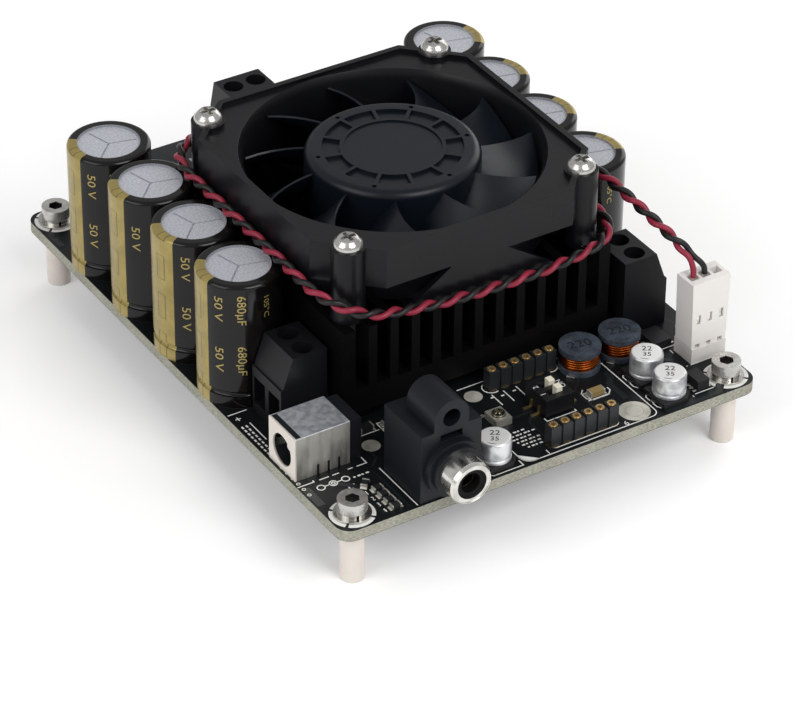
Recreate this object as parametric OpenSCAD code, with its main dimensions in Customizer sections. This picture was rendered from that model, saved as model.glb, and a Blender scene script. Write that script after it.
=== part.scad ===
// Audio amplifier board with a finned heatsink, an axial fan, two rows of
// bulk capacitors, a phono input, a power jack and screw terminals.
// Origin: centre of the corner hole pattern, on the plane of the standoff feet.
// +X right, +Y back, +Z up. All sizes in millimetres.
// The fan's width sets the heatsink, and the heatsink, the capacitors and the parts
// before and behind it set the board.

/* [Board] */
// Board thickness
board_t = 2.4; // [1.6:0.1:3]
// Radius of the board corners
board_corner_r = 3; // [1:0.5:4]
// Distance of the corner holes from the board edges
hole_inset = 4.5; // [4:0.25:5.5]
// Clearance hole for a 3 mm screw
screw_hole_d = 3.4; // [3.2:0.1:3.8]

/* [Standoffs and corner screws] */
// Height of the standoffs under the board
standoff_h = 11.5; // [10:0.5:20]
// Diameter of the standoffs
standoff_d = 4.6; // [4.4:0.1:6]
// Diameter of the 3 mm screws over the thread core
screw_d = 2.6; // [2.4:0.1:2.7]
// Diameter of the tapped holes in the standoffs' feet
foot_hole_d = 2.4; // [2.2:0.05:2.45]
// Length of screw held in a tapped hole
screw_grip = 5.5; // [4:0.5:6]
// Diameter of the socket heads
cap_head_d = 5.5; // [5:0.1:6]
// Height of the socket heads
cap_head_h = 2.2; // [1.8:0.1:3]
// Width across flats of the hexagon sockets
hex_af = 2.5; // [2:0.1:3]
// Outer diameter of the flat washers
washer_d = 7; // [6.4:0.2:8]
// Thickness of the flat washers
washer_t = 0.5; // [0.4:0.1:0.8]
// Outer diameter of the spring washers
spring_washer_d = 5.4; // [5:0.1:6]
// Thickness of the spring washers
spring_washer_t = 0.8; // [0.6:0.1:1]

/* [Heatsink] */
// Inset of the heatsink's sides from the fan's sides
sink_inset = 1.2; // [0.8:0.1:1.5]
// Thickness of the heatsink base
sink_base_t = 5; // [4:0.5:6]
// Height of the fins above the base
fin_h = 13; // [12:0.5:16]
// Thickness of the fins
fin_t = 1.8; // [1.4:0.1:1.9]
// Diameter of the legs that stand on the board
leg_d = 7; // [6:0.5:8]
// Distance of the legs from the heatsink's sides
leg_inset_x = 5.3; // [4.5:0.1:7]
// Distance of the legs from the heatsink's ends
leg_inset_y = 5.5; // [4.5:0.1:7]
// Width of the power transistors
package_w = 10; // [8:0.5:12]
// Length of the power transistors
package_l = 9; // [8:0.5:12]
// Thickness of the power transistors
package_t = 2.4; // [2:0.1:3]
// Distance between the power transistors, left to right
package_gap_x = 22; // [16:0.5:24]
// Distance between the power transistors, front to back
package_gap_y = 27; // [16:0.5:30]
// Margin of the thermal pad round the transistors
pad_margin = 1; // [0.5:0.5:2]
// Thickness of the thermal pad
pad_t = 0.5; // [0.3:0.1:1]

/* [Fan] */
// Width of the fan frame
fan_w = 60; // [50:1:70]
// Thickness of the fan
fan_t = 15; // [15:0.5:20]
// Distance of the fan's screw holes from its sides
fan_hole_inset = 5; // [4.5:0.1:5.5]
// Diameter of the corner posts
post_d = 6.4; // [6:0.1:6.8]
// Thickness of the skirt and duct walls
frame_wall = 1.2; // [1:0.1:1.6]
// Distance of the fan's bore from its sides
bore_inset = 2.2; // [1.8:0.1:2.6]
// Gap between the blade tips and the bore
tip_gap = 0.6; // [0.5:0.1:1]
// Diameter of the rotor hub
hub_d = 33; // [30:0.5:34]
// Number of blades
blade_count = 11; // [5:1:11]
// Thickness of the blades
blade_t = 1.1; // [0.9:0.1:1.5]
// Angle that a blade spans at its root
blade_span = 25; // [18:1:27]
// Angle by which the tips run ahead of the roots
blade_sweep = 9; // [0:1:20]
// Angle at which the rotor stands at rest
rotor_turn = 14.3; // [0:0.1:32]
// Diameter of the rotor shaft
shaft_d = 3; // [2.5:0.1:3.5]
// Outer diameter of the bearings
bearing_d = 6; // [5.5:0.1:7]
// Height of each bearing
bearing_h = 2.5; // [2:0.1:3]
// Radial running clearance of the shaft
running_gap = 0.03; // [0.02:0.01:0.08]
// Diameter of the pan heads on the fan and heatsink screws
pan_head_d = 5.3; // [5:0.1:6]
// Height of the pan heads
pan_head_h = 2; // [1.8:0.1:2.4]

/* [Capacitors] */
// Diameter of the bulk capacitors
cap_d = 16; // [13:0.1:18]
// Height of the bulk capacitors
cap_h = 26.5; // [20:0.5:28]
// Gap between neighbouring bulk capacitors
cap_gap = 0.3; // [0.1:0.1:0.6]
// Gap between the bulk capacitors and the heatsink
cap_sink_gap = 0.6; // [0.3:0.1:2]
// Bulk capacitors in a row
cap_count = 4; // [4:1:4]
// Overhang of the capacitor rows past the board edges
cap_overhang = 0.4; // [0.2:0.1:1]
// Distance of the frontmost left capacitor from the front edge
left_row_front = 49; // [48:0.1:51]
// Distance of the frontmost right capacitor from the front edge
right_row_front = 48.2; // [47:0.1:50]
// Diameter of the signal capacitors
small_cap_d = 6.3; // [5:0.1:6.5]
// Height of the signal capacitors
small_cap_h = 5.6; // [5:0.1:8]

/* [Connectors] */
// Width of the power jack
dc_w = 9.1; // [9:0.1:9.6]
// Height of the power jack
dc_h = 9.2; // [8.6:0.1:11]
// Length of the power jack's metal shield
dc_shield_l = 11.5; // [10:0.5:12]
// Thickness of the metal shield
shield_t = 0.3; // [0.2:0.05:0.5]
// Diameter of the power jack's hole
dc_hole_d = 6.3; // [5.5:0.1:6.5]
// Diameter of the power jack's pin
dc_pin_d = 2.1; // [1.6:0.1:2.5]
// Width of the phono jack
rca_w = 12.6; // [11:0.1:13.4]
// Depth of the phono jack's body
rca_l = 12.2; // [11:0.1:13]
// Height of the phono jack's body
rca_h = 14.5; // [13:0.1:16]
// Height of the phono barrel's axis above the board
rca_axis_h = 6.5; // [6.3:0.1:7.5]
// Diameter of the phono barrel
barrel_d = 8.4; // [8:0.1:8.8]
// Length of the phono barrel outside the body
barrel_l = 7; // [6:0.5:9]
// Diameter of the hole for the phono plug's tip
tip_hole_d = 3.3; // [3.2:0.1:3.6]
// Distance between the poles of the screw terminals
pole_pitch = 5.08; // [5:0.01:5.5]
// Depth of the screw terminals
term_depth = 9.7; // [9.4:0.1:10.4]
// Height of the terminals at the board's sides
term_h = 16.2; // [15.5:0.1:18]
// Height of the speaker terminal at the back
speaker_term_h = 18.6; // [16:0.1:19.5]
// Height of the wire face of the terminals
term_face_h = 10; // [9.5:0.1:10.5]
// Travel of the terminals' wire clamps
clamp_travel = 1.5; // [1:0.1:2]
// Distance between header and socket pins
pin_pitch = 2.54; // [2.5:0.01:2.6]
// Height of the socket strips
strip_h = 4.2; // [3:0.1:5]
// Height of the fan plug above the header base
plug_h = 14.3; // [12:0.1:16]

/* [Small parts] */
// Diameter of the supply chokes
choke_d = 8; // [7:0.1:8.3]
// Height of the supply chokes
choke_h = 5; // [4:0.1:6]
// Width of the output inductors, left to right
inductor_w = 21; // [18:0.5:22]
// Length of the output inductors, front to back
inductor_l = 17; // [14:0.5:18]
// Height of the output inductors
inductor_h = 15; // [10:0.5:16]
// Travel of the switch sliders
slider_travel = 1.5; // [1:0.1:1.6]
// Clearance round sliding and turning small parts
small_gap = 0.1; // [0.05:0.01:0.2]
// Diameter of the soldered leads
lead_d = 0.9; // [0.7:0.1:1]
// Diameter of the plated holes for the leads
lead_hole_d = 1.2; // [1.1:0.1:1.4]
// Length of the lead tails under the board
lead_tail = 1.6; // [1:0.1:2.5]

/* [Hidden] */
$fn = 64;
eps = 0.01;

// Levels, from the feet up
board_z0 = standoff_h;
board_z1 = board_z0 + board_t;
sink_z0 = board_z1 + package_t + pad_t;
fin_z0 = sink_z0 + sink_base_t;
fan_z0 = fin_z0 + fin_h;
fan_z1 = fan_z0 + fan_t;

// Heatsink
sink_w = fan_w - 2 * sink_inset;
sink_l = fan_w;
fan_pitch = fan_w - 2 * fan_hole_inset;
fin_screw_gap = 0.05;
fin_room = fin_t + screw_d + 2 * fin_screw_gap;
fin_pitches = 2 * floor((fan_pitch / fin_room - 1) / 2) + 1;
fin_pitch = fan_pitch / fin_pitches;
inner_fins = (fin_pitches - 1) / 2;
end_fin_x0 = fan_pitch / 2 + (fin_pitch - fin_t) / 2;
leg_span_x = sink_w - 2 * leg_inset_x;
leg_span_y = sink_l - 2 * leg_inset_y;
leg_screw_depth = screw_grip + 0.5;
pad_w = package_gap_x + package_w + 2 * pad_margin;
pad_l = package_gap_y + package_l + 2 * pad_margin;

// Socket strips: eight pin pitches apart, the rear one before the heatsink, both beside the chokes
strip_n = 6;
strip_inset = 3.5;
strip_gap = 8 * pin_pitch;
strip_w = 2.2;
strip_groove = 0.5;
strip_sink_gap = 1.48;
strip_choke_gap = 0.03;

// Room before and behind the heatsink, and the board that it makes
inductor_sink_gap = 4.1;
inductor_term_gap = 3.4;
speaker_overhang = 0.6;
front_room = strip_inset + strip_gap + strip_w / 2 + strip_sink_gap;
back_room = inductor_sink_gap + inductor_l + inductor_term_gap + term_depth - speaker_overhang;
board_w = sink_w + 2 * (cap_sink_gap + cap_d - cap_overhang);
board_l = front_room + sink_l + back_room;
sink_back = (front_room - back_room) / 2;

// Corner pattern and board edges
hole_x = board_w / 2 - hole_inset;
hole_y = board_l / 2 - hole_inset;
left_edge = -board_w / 2;
right_edge = board_w / 2;
front_edge = -board_l / 2;
back_edge = board_l / 2;
sink_front = front_edge + front_room;
corners = [[-1, -1], [1, -1], [1, 1], [-1, 1]];

// Fan
bore_d = fan_w - 2 * bore_inset;
bore_r = bore_d / 2;
duct_r = bore_r + frame_wall;
rim_step = 0.8;
plate_t = 2;
skirt_cap_gap = 1.4;
skirt_h = fan_z1 - board_z1 - cap_h - skirt_cap_gap;
hub_r = hub_d / 2;
hub_wall = 1.4;
hub_top_gap = 0.5;
hub_skirt_gap = 1.5;
motor_plate_t = 2;
hub_z0 = fan_z0 + motor_plate_t + hub_skirt_gap;
hub_z1 = fan_z1 - hub_top_gap;
hub_edge_r = 1.6;
hub_top_t = 1.6;
cavity_z1 = hub_z1 - hub_top_t;
shaft_seat = 0.5;
shaft_z1 = cavity_z1 + shaft_seat;
tube_wall = 1;
tube_r = bearing_d / 2 + tube_wall;
tube_gap = 2;
tube_z1 = cavity_z1 - tube_gap;
yoke_t = 2.3;
yoke_r0 = hub_r - hub_wall - yoke_t;
air_gap = 0.5;
stator_r = yoke_r0 - air_gap;
blade_foot = 0.6;
blade_drop = 1.6;
blade_z0 = hub_z0 + blade_foot;
blade_z1 = hub_z1 - blade_drop;
tip_r = bore_r - tip_gap;
fan_screw_reach = 10;
lower_wall_bottom = 0.55 * fan_w;
lower_wall_top = 0.2 * fan_w;
strut_w = 3;
strut_h = 1.8;
strut_count = 4;

// Capacitor rows
cap_pitch = cap_d + cap_gap;
cap_row_x = board_w / 2 + cap_overhang - cap_d / 2;
cap_lead_gap = 7.5;
left_row_y = front_edge + left_row_front;
right_row_y = front_edge + right_row_front;

// Screw terminals
term_l = 2 * pole_pitch;
term_ledge = 0.4;
term_slope = 2.2;
term_screw_x = -6;
term_lead_x = -8.7;
window_w = 3.8;
window_z0 = 2.2;
window_h = 5.6;
clamp_l = 4;
clamp_w = window_w - 2 * small_gap - 0.2;
clamp_h = 6.2;
clamp_wall = 0.8;
clamp_z0 = window_z0 - clamp_wall - 0.1;
clamp_room = clamp_h + clamp_travel + 0.6;
cage_room_l = clamp_l + 0.6;
well_d = 4;
term_screw_head_d = well_d - 0.3;
term_screw_head_h = 1.8;
bar_t = 0.8;
bar_z0 = clamp_z0 + clamp_h - clamp_wall - bar_t - 0.15;
bar_w = 2.2;
side_room = cap_d - cap_overhang + cap_sink_gap;
power_sink_gap = 1.1;
power_inset = side_room - power_sink_gap - term_depth;
power_gap = 0.32;
power_y = left_row_y - cap_d / 2 - power_gap - term_l / 2;
aux_sink_gap = 2.5;
aux_inset = side_room - aux_sink_gap - term_depth;
aux_gap = 5.22;
aux_y = right_row_y - cap_d / 2 - aux_gap - term_l / 2;
speaker_x = 1.9;

// Power jack
dc_inset = 0.5;
dc_x0 = left_edge + dc_inset;
dc_gap = 3.92;
dc_y = power_y - term_l / 2 - dc_gap - dc_w / 2;
dc_body_l = 14;
dc_axis_drop = 0.2;
dc_axis_h = dc_h / 2 - dc_axis_drop;
dc_face_t = 0.5;
dc_strip_l = 1;
dc_hole_depth = 9.5;
dc_lead_rows = [4, 12];
shield_slots = [4.6, 6.8, 9];

// Phono jack
rca_inset = 22.3;
rca_set_back = 0.3;
rca_x = left_edge + rca_inset;
rca_front = front_edge + rca_set_back;
rca_axis_z = board_z1 + rca_axis_h;
rca_lead_front = 4;
rca_lead_back = 9;
rca_lead_side = 3;
collar_d = 11.4;
collar_l = 1.6;
collar_step = 0.8;
collar_step_l = 1;
collar_top = collar_l + collar_step_l;
barrel_wall = 0.5;
insulator_d = barrel_d - 2 * barrel_wall;
insulator_inset = 0.6;
tip_hole_depth = 3;
boss_r = 3.6;
boss_rise = 2.2;
boss_l = 9;
boss_hole_d = 3.6;
boss_hole_depth = 8;
contact_wall = 0.35;
contact_inset = 2.4;

// Socket contacts and fan header
strip_front_y = front_edge + strip_inset;
contact_d = 1.5;
contact_hole_d = 0.9;
contact_rise = 0.2;
header_n = 3;
header_side = 4.1;
header_x = right_edge - header_side;
header_inset = 13.4;
header_y = front_edge + header_inset;
header_margin = 0.1;
header_w = header_n * pin_pitch + header_margin;
header_l = 5.6;
header_base_h = 3.2;
header_pin = 0.64;
header_pin_h = 9;
plug_flare = 0.8;
plug_w_top = header_w + plug_flare;
plug_l = 5.2;
plug_cavity = 1.9;

// Small parts on the board, as x and y from the board centre
choke_inset = 17.1;
choke_gap = 0.9;
choke_sink_gap = 1.3;
choke_y = sink_front - choke_sink_gap - choke_d / 2;
choke_x = right_edge - choke_inset;
choke_places = [[choke_x, choke_y], [choke_x - choke_d - choke_gap, choke_y]];
strip_x = choke_places[1].x - choke_d / 2 - strip_choke_gap - (strip_n * pin_pitch - strip_groove) / 2;
small_base_margin = 0.2;
small_base_w = small_cap_d + 2 * small_base_margin;
small_cap_inset = 17.3;
small_cap_front = 4.5;
small_cap_gap = 0.7;
small_cap_choke_gap = 1.75;
small_cap_rca_gap = 2.35;
small_cap_x = right_edge - small_cap_inset;
small_cap_y = choke_y - choke_d / 2 - small_cap_choke_gap - small_base_w / 2;
small_cap_places = [
    [small_cap_x, small_cap_y - small_base_w - small_cap_gap],
    [small_cap_x, small_cap_y],
    [rca_x + rca_w / 2 + small_cap_rca_gap + small_base_w / 2, front_edge + small_cap_front]
];
inductor_inset = 12.6;
inductor_x = sink_w / 2 - inductor_inset;
inductor_y = back_edge - back_room + inductor_sink_gap + inductor_l / 2;
inductor_places = [[-inductor_x, inductor_y], [inductor_x, inductor_y]];
dip_shift = 0.2;
dip_place = [strip_x - dip_shift, strip_front_y + strip_gap / 2];
trimmer_shift = 10.9;
trimmer_place = [strip_x - trimmer_shift, strip_front_y + trimmer_shift];
transistor_places = [for (s = [-1, 1], t = [-1, 1])
    [s * package_gap_x / 2, sink_back + t * package_gap_y / 2]];
// Each chip: distance from the nearer side edge, distance from the front edge, width, length,
// height and angle. A negative distance is from the right edge.
chips = [
    [-9.3, 20.4, 4, 5, 1.5, 0], [-28.4, 12.1, 3.2, 1.6, 1.1, 0], [-10.7, 5, 2.6, 4.2, 2.1, 0],
    [10.8, 10.5, 2, 1.25, 0.7, 45], [12, 8.2, 2, 1.25, 0.7, 0], [12, 6.2, 2, 1.25, 0.7, 0],
    [12, 4.2, 2, 1.25, 0.7, 0], [12, 2.2, 2, 1.25, 0.8, 0], [19.5, 24.5, 2.9, 1.6, 1.1, 0],
    [24, 24.2, 2, 1.25, 0.7, 0], [30.5, 20.5, 2, 1.25, 0.7, 90], [36.5, 20.8, 2, 1.25, 0.7, 0]
];
dip_w = 6.2;
dip_l = 6.9;
dip_h = 3.6;
dip_stand = 0.4;
slider_w = 1.4;
slider_l = 1.3;
slider_h = 2.2;
slider_sunk = 1.2;
slider_pitch = 2.54;
trimmer_w = 3.4;
trimmer_h = 1.5;
trimmer_rotor_d = 2.4;
trimmer_rotor_h = 0.9;
trimmer_sunk = 0.5;
inductor_lead_gap = 12;
inductor_round = 1;

// Fan lead: it leaves the duct at the right, goes once round the fan and runs to the plug.
// Points from the fan's centre, on the plane of the fan's foot.
lead_pair_d = 2.6;
lead_sides = 8;
lead_shape = [
    [24.4, -15.4, 2.9], [27.2, -17.0, 2.8], [29.6, -19.0, 2.7], [30.9, -22.0, 2.5], [30.7, -25.4, 2.2],
    [29.0, -28.6, 1.9], [25.4, -30.8, 1.5], [19.6, -31.6, 1.0], [12.5, -31.7, 0.5], [5.0, -31.7, 0.5],
    [-2.5, -31.7, 0.7], [-10.0, -31.7, 1.3], [-17.5, -31.7, 2.3], [-23.5, -31.4, 3.5], [-27.6, -29.6, 4.8],
    [-30.4, -26.0, 6.0], [-31.5, -21.0, 6.7], [-31.5, -13.4, 7.0], [-31.5, -5.4, 7.1], [-31.5, 2.6, 7.2],
    [-31.5, 10.6, 7.3], [-31.5, 17.6, 7.4], [-31.3, 23.2, 7.5], [-29.5, 28.0, 7.6], [-25.6, 30.9, 7.6],
    [-20.0, 31.6, 7.7], [-12.0, 31.7, 7.7], [-4.0, 31.7, 7.8], [4.0, 31.7, 7.9], [12.0, 31.7, 8.0],
    [20.0, 31.6, 8.1], [25.6, 30.9, 8.2], [29.5, 28.0, 8.3], [31.3, 23.2, 8.4], [31.6, 16.6, 8.5],
    [31.6, 8.6, 8.6], [31.7, 0.6, 8.7], [32.0, -7.4, 8.7], [32.6, -14.4, 8.6], [33.5, -20.9, 8.1],
    [34.4, -26.9, 6.9], [35.5, -32.4, 5.2], [37.0, -37.4, 3.0], [38.7, -41.2, 0.4], [39.6, -42.7, -1.6],
    [39.7, -43.0, -3.4]
];
lead_route = [for (p = lead_shape) p + [0, sink_back, fan_z0]];

// Positions of the soldered leads, as x and y from the board centre
function row(n, pitch) = [for (i = [0 : n - 1]) (i - (n - 1) / 2) * pitch];
function left_cap(i) = [-cap_row_x, left_row_y + (cap_count - 1 - i) * cap_pitch];
function right_cap(i) = [cap_row_x, right_row_y + (cap_count - 1 - i) * cap_pitch];
function cap_leads(place) = [for (s = [-1, 1]) [place.x, place.y + s * cap_lead_gap / 2]];
function strip_leads(y) = [for (x = row(strip_n, pin_pitch)) [strip_x + x, y]];
header_leads = [for (x = row(header_n, pin_pitch)) [header_x + x, header_y]];
power_leads = [for (s = [-1, 1]) [left_edge + power_inset - term_lead_x, power_y + s * pole_pitch / 2]];
aux_leads = [for (s = [-1, 1]) [right_edge - aux_inset + term_lead_x, aux_y + s * pole_pitch / 2]];
speaker_leads = [for (s = [-1, 1])
    [speaker_x + s * pole_pitch / 2, back_edge + speaker_overhang + term_lead_x]];
dc_leads = [for (x = dc_lead_rows) [dc_x0 + x, dc_y]];
rca_leads = [
    [rca_x - rca_lead_side, rca_front + rca_lead_back],
    [rca_x + rca_lead_side, rca_front + rca_lead_back],
    [rca_x, rca_front + rca_lead_front]
];
inductor_leads = [for (p = inductor_places, s = [-1, 1]) [p.x + s * inductor_lead_gap / 2, p.y]];
board_holes = concat(
    [for (i = [0 : cap_count - 1]) each concat(cap_leads(left_cap(i)), cap_leads(right_cap(i)))],
    strip_leads(strip_front_y), strip_leads(strip_front_y + strip_gap), header_leads,
    power_leads, aux_leads, speaker_leads, dc_leads, rca_leads, inductor_leads
);

// Nodes
poles = ["power", "aux", "speaker"];

// Shared shapes

// Rectangle with round corners, centred
module rounded_rect(w, l, r) {
    square([w - 2 * r, l], center = true);
    square([w, l - 2 * r], center = true);
    for (c = corners) translate([c.x * (w / 2 - r), c.y * (l / 2 - r)]) circle(r);
}

// Centred block standing on z = 0
module block(w, l, h) {
    translate([-w / 2, -l / 2, 0]) cube([w, l, h]);
}

// Ring standing on z = 0
module ring(r1, r0, h) {
    difference() {
        cylinder(h = h, r = r1);
        translate([0, 0, -1]) cylinder(h = h + 2, r = r0);
    }
}

// Children at each corner of a rectangle
module at_corners(x, y) {
    for (c = corners) translate([c.x * x, c.y * y, 0]) children();
}

// Soldered leads from a level down through the board
module leads(places, top) {
    for (p = places)
        translate([p.x, p.y, board_z0 - lead_tail])
            cylinder(h = top - board_z0 + lead_tail, d = lead_d, $fn = 16);
}

// Board, standoffs and corner screws

module circuit_board() {
    color("#15181b") translate([0, 0, board_z0]) difference() {
        linear_extrude(board_t) rounded_rect(board_w, board_l, board_corner_r);
        translate([0, 0, -1]) at_corners(hole_x, hole_y) cylinder(h = board_t + 2, d = screw_hole_d);
        translate([0, sink_back, -1]) at_corners(leg_span_x / 2, leg_span_y / 2)
            cylinder(h = board_t + 2, d = screw_hole_d);
        for (p = board_holes) translate([p.x, p.y, -1])
            cylinder(h = board_t + 2, d = lead_hole_d, $fn = 16);
    }
}

// Pillars tapped from both ends: the corner screws come in from above, fixing screws from below
module standoffs() {
    screw_room = screw_grip + 0.5;
    floor_t = 0.5;
    color("ivory") at_corners(hole_x, hole_y) difference() {
        cylinder(h = standoff_h, d = standoff_d);
        translate([0, 0, standoff_h - screw_room]) cylinder(h = screw_room + 1, d = screw_d + 2 * small_gap);
        translate([0, 0, -1]) cylinder(h = standoff_h - screw_room - floor_t + 1, d = foot_hole_d);
    }
}

module corner_screws() {
    seat = board_z1 + washer_t + spring_washer_t;
    color("silver") at_corners(hole_x, hole_y) difference() {
        union() {
            translate([0, 0, board_z0 - screw_grip])
                cylinder(h = seat - board_z0 + screw_grip + eps, d = screw_d);
            translate([0, 0, seat]) cylinder(h = cap_head_h, d = cap_head_d);
        }
        translate([0, 0, seat + cap_head_h / 2])
            cylinder(h = cap_head_h, d = hex_af / cos(30), $fn = 6);
    }
}

module corner_washers() {
    split = 0.5;
    color("gainsboro") at_corners(hole_x, hole_y) {
        translate([0, 0, board_z1]) ring(washer_d / 2, screw_hole_d / 2, washer_t);
        translate([0, 0, board_z1 + washer_t]) difference() {
            ring(spring_washer_d / 2, screw_hole_d / 2, spring_washer_t);
            rotate([0, 0, -100]) translate([0, -split / 2, -1])
                cube([spring_washer_d, split, spring_washer_t + 2]);
        }
    }
}

// Heatsink and what it cools

module heatsink() {
    color("#101214") translate([0, sink_back, 0]) difference() {
        union() {
            translate([0, 0, sink_z0]) block(sink_w, sink_l, sink_base_t);
            for (i = [-inner_fins : inner_fins])
                translate([i * fin_pitch, 0, fin_z0 - eps]) block(fin_t, sink_l, fin_h + eps);
            for (s = [-1, 1])
                translate([s * (end_fin_x0 + sink_w / 2) / 2, 0, fin_z0 - eps])
                    block(sink_w / 2 - end_fin_x0, sink_l, fin_h + eps);
            at_corners(leg_span_x / 2, leg_span_y / 2)
                translate([0, 0, board_z1]) cylinder(h = sink_z0 - board_z1 + eps, d = leg_d);
        }
        at_corners(leg_span_x / 2, leg_span_y / 2)
            translate([0, 0, board_z1 - 1])
                cylinder(h = leg_screw_depth + 1, d = screw_d + 2 * small_gap);
    }
}

module heatsink_screws() {
    color("silver") translate([0, sink_back, board_z0]) at_corners(leg_span_x / 2, leg_span_y / 2) {
        cylinder(h = board_t + screw_grip, d = screw_d);
        rotate([180, 0, 0]) pan_head();
    }
}

// Pan head with a cross recess, on z = 0
module pan_head() {
    crown = pan_head_h * 0.55;
    slot_w = 0.8;
    slot_l = pan_head_d * 0.55;
    difference() {
        union() {
            cylinder(h = pan_head_h - crown, d = pan_head_d);
            translate([0, 0, pan_head_h - crown])
                cylinder(h = crown, d1 = pan_head_d, d2 = pan_head_d * 0.62);
        }
        for (a = [0, 90]) rotate([0, 0, a]) translate([0, 0, pan_head_h - crown])
            block(slot_l, slot_w, pan_head_h);
    }
}

module power_transistors() {
    color("#2a2a2c") for (p = transistor_places) translate([p.x, p.y, board_z1])
        block(package_w, package_l, package_t);
}

module thermal_pad() {
    color("#9aa0a6") translate([0, sink_back, board_z1 + package_t]) block(pad_w, pad_l, pad_t);
}

// Fan

// Fan frame outline: a square whose corners are cut through the post centres
module frame_outline(half) {
    near = fan_pitch - fan_w / 2 + (half - fan_w / 2) * 0.42;
    polygon([[half, -near], [half, near], [near, half], [-near, half],
             [-half, near], [-half, -near], [-near, -half], [near, -half]]);
}

module fan_frame() {
    plate_z0 = fan_t - rim_step - plate_t;
    skirt_z0 = fan_t - skirt_h;
    inlet_h = 1.6;
    inlet_flare = 0.75 * frame_wall;
    color("#1b1c1f") translate([0, sink_back, fan_z0]) {
        difference() {
            union() {
                translate([0, 0, plate_z0]) linear_extrude(plate_t) frame_outline(fan_w / 2);
                translate([0, 0, skirt_z0]) linear_extrude(skirt_h) difference() {
                    frame_outline(fan_w / 2);
                    frame_outline(fan_w / 2 - frame_wall);
                }
                cylinder(h = plate_z0 + plate_t / 2, r = duct_r, $fn = 96);
                at_corners(fan_pitch / 2, fan_pitch / 2) cylinder(h = fan_t, d = post_d);
                for (a = [45 : 90 : 315]) rotate([0, 0, a])
                    translate([bore_r, -frame_wall / 2, 0])
                        cube([fan_pitch * sqrt(0.5) - bore_r, frame_wall, plate_z0 + plate_t / 2]);
                for (s = [0, 180]) rotate([0, 0, s]) frame_lower_wall(skirt_z0);
            }
            translate([0, 0, -1]) cylinder(h = fan_t + 2, r = bore_r, $fn = 96);
            translate([0, 0, fan_t - rim_step - inlet_h])
                cylinder(h = inlet_h + 0.1, r1 = bore_r, r2 = bore_r + inlet_flare, $fn = 96);
            at_corners(fan_pitch / 2, fan_pitch / 2) translate([0, 0, -1])
                cylinder(h = fan_t + 2, d = screw_hole_d);
        }
        fan_motor_base();
    }
}

// Wall under the skirt, widest at its foot
module frame_lower_wall(top) {
    translate([0, -fan_w / 2 + frame_wall, 0]) rotate([90, 0, 0]) linear_extrude(frame_wall)
        polygon([[-lower_wall_bottom / 2, 0], [lower_wall_bottom / 2, 0],
                 [lower_wall_top / 2, top + eps], [-lower_wall_top / 2, top + eps]]);
}

// Motor plate, its struts and the tube that holds the bearings
module fan_motor_base() {
    base_r = hub_r + 0.4;
    tube_h = tube_z1 - fan_z0;
    difference() {
        union() {
            cylinder(h = motor_plate_t, r = base_r);
            cylinder(h = tube_h, r = tube_r);
            for (i = [0 : strut_count - 1]) rotate([0, 0, 22 + i * 360 / strut_count])
                translate([base_r - 1, -strut_w / 2, 0]) cube([bore_r - base_r + 1.4, strut_w, strut_h]);
        }
        translate([0, 0, motor_plate_t]) cylinder(h = tube_h, r = bearing_d / 2);
    }
}

module fan_rotor() {
    slot_ring_r0 = hub_r - 6.6;
    slot_ring_r1 = hub_r - 3.3;
    slot_depth = 0.6;
    rib_w = 0.7;
    rib_count = 12;
    face_r = slot_ring_r0 - 0.7;
    dot_r = 0.45;
    dot_place = hub_r - 2.2;
    color("#202226") translate([0, sink_back, 0]) rotate([0, 0, rotor_turn]) difference() {
        union() {
            rotate_extrude($fn = 96) hub_section();
            for (i = [0 : blade_count - 1]) rotate([0, 0, (i + 0.5) * 360 / blade_count]) fan_blade();
        }
        translate([0, 0, hub_z1 - slot_depth]) difference() {
            ring(slot_ring_r1, slot_ring_r0, slot_depth + 1);
            for (i = [0 : rib_count - 1]) rotate([0, 0, i * 360 / rib_count])
                translate([slot_ring_r0 - 1, -rib_w / 2, -1])
                    cube([slot_ring_r1 - slot_ring_r0 + 2, rib_w, slot_depth + 3]);
        }
        translate([0, 0, hub_z1 - slot_depth / 2]) cylinder(h = 1, r = face_r);
        for (a = [30 : 60 : 330]) rotate([0, 0, a]) translate([dot_place, 0, hub_z1 - slot_depth])
            cylinder(h = 1, r = dot_r, $fn = 16);
    }
}

// Half section of the rotor hub: a cup with a round edge and a boss for the shaft
module hub_section() {
    difference() {
        union() {
            translate([shaft_d / 2, hub_z0]) square([hub_r - shaft_d / 2, hub_z1 - hub_edge_r - hub_z0]);
            translate([shaft_d / 2, hub_z0]) square([hub_r - hub_edge_r - shaft_d / 2, hub_z1 - hub_z0]);
            translate([hub_r - hub_edge_r, hub_z1 - hub_edge_r]) circle(hub_edge_r);
            translate([0, shaft_z1]) square([hub_r - hub_edge_r, hub_z1 - shaft_z1]);
        }
        translate([tube_r, hub_z0 - 1]) square([hub_r - hub_wall - tube_r, cavity_z1 - hub_z0 + 1]);
        translate([0, hub_z0 - 1]) square([tube_r + eps, tube_z1 + 0.5 - hub_z0 + 1]);
    }
}

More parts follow.
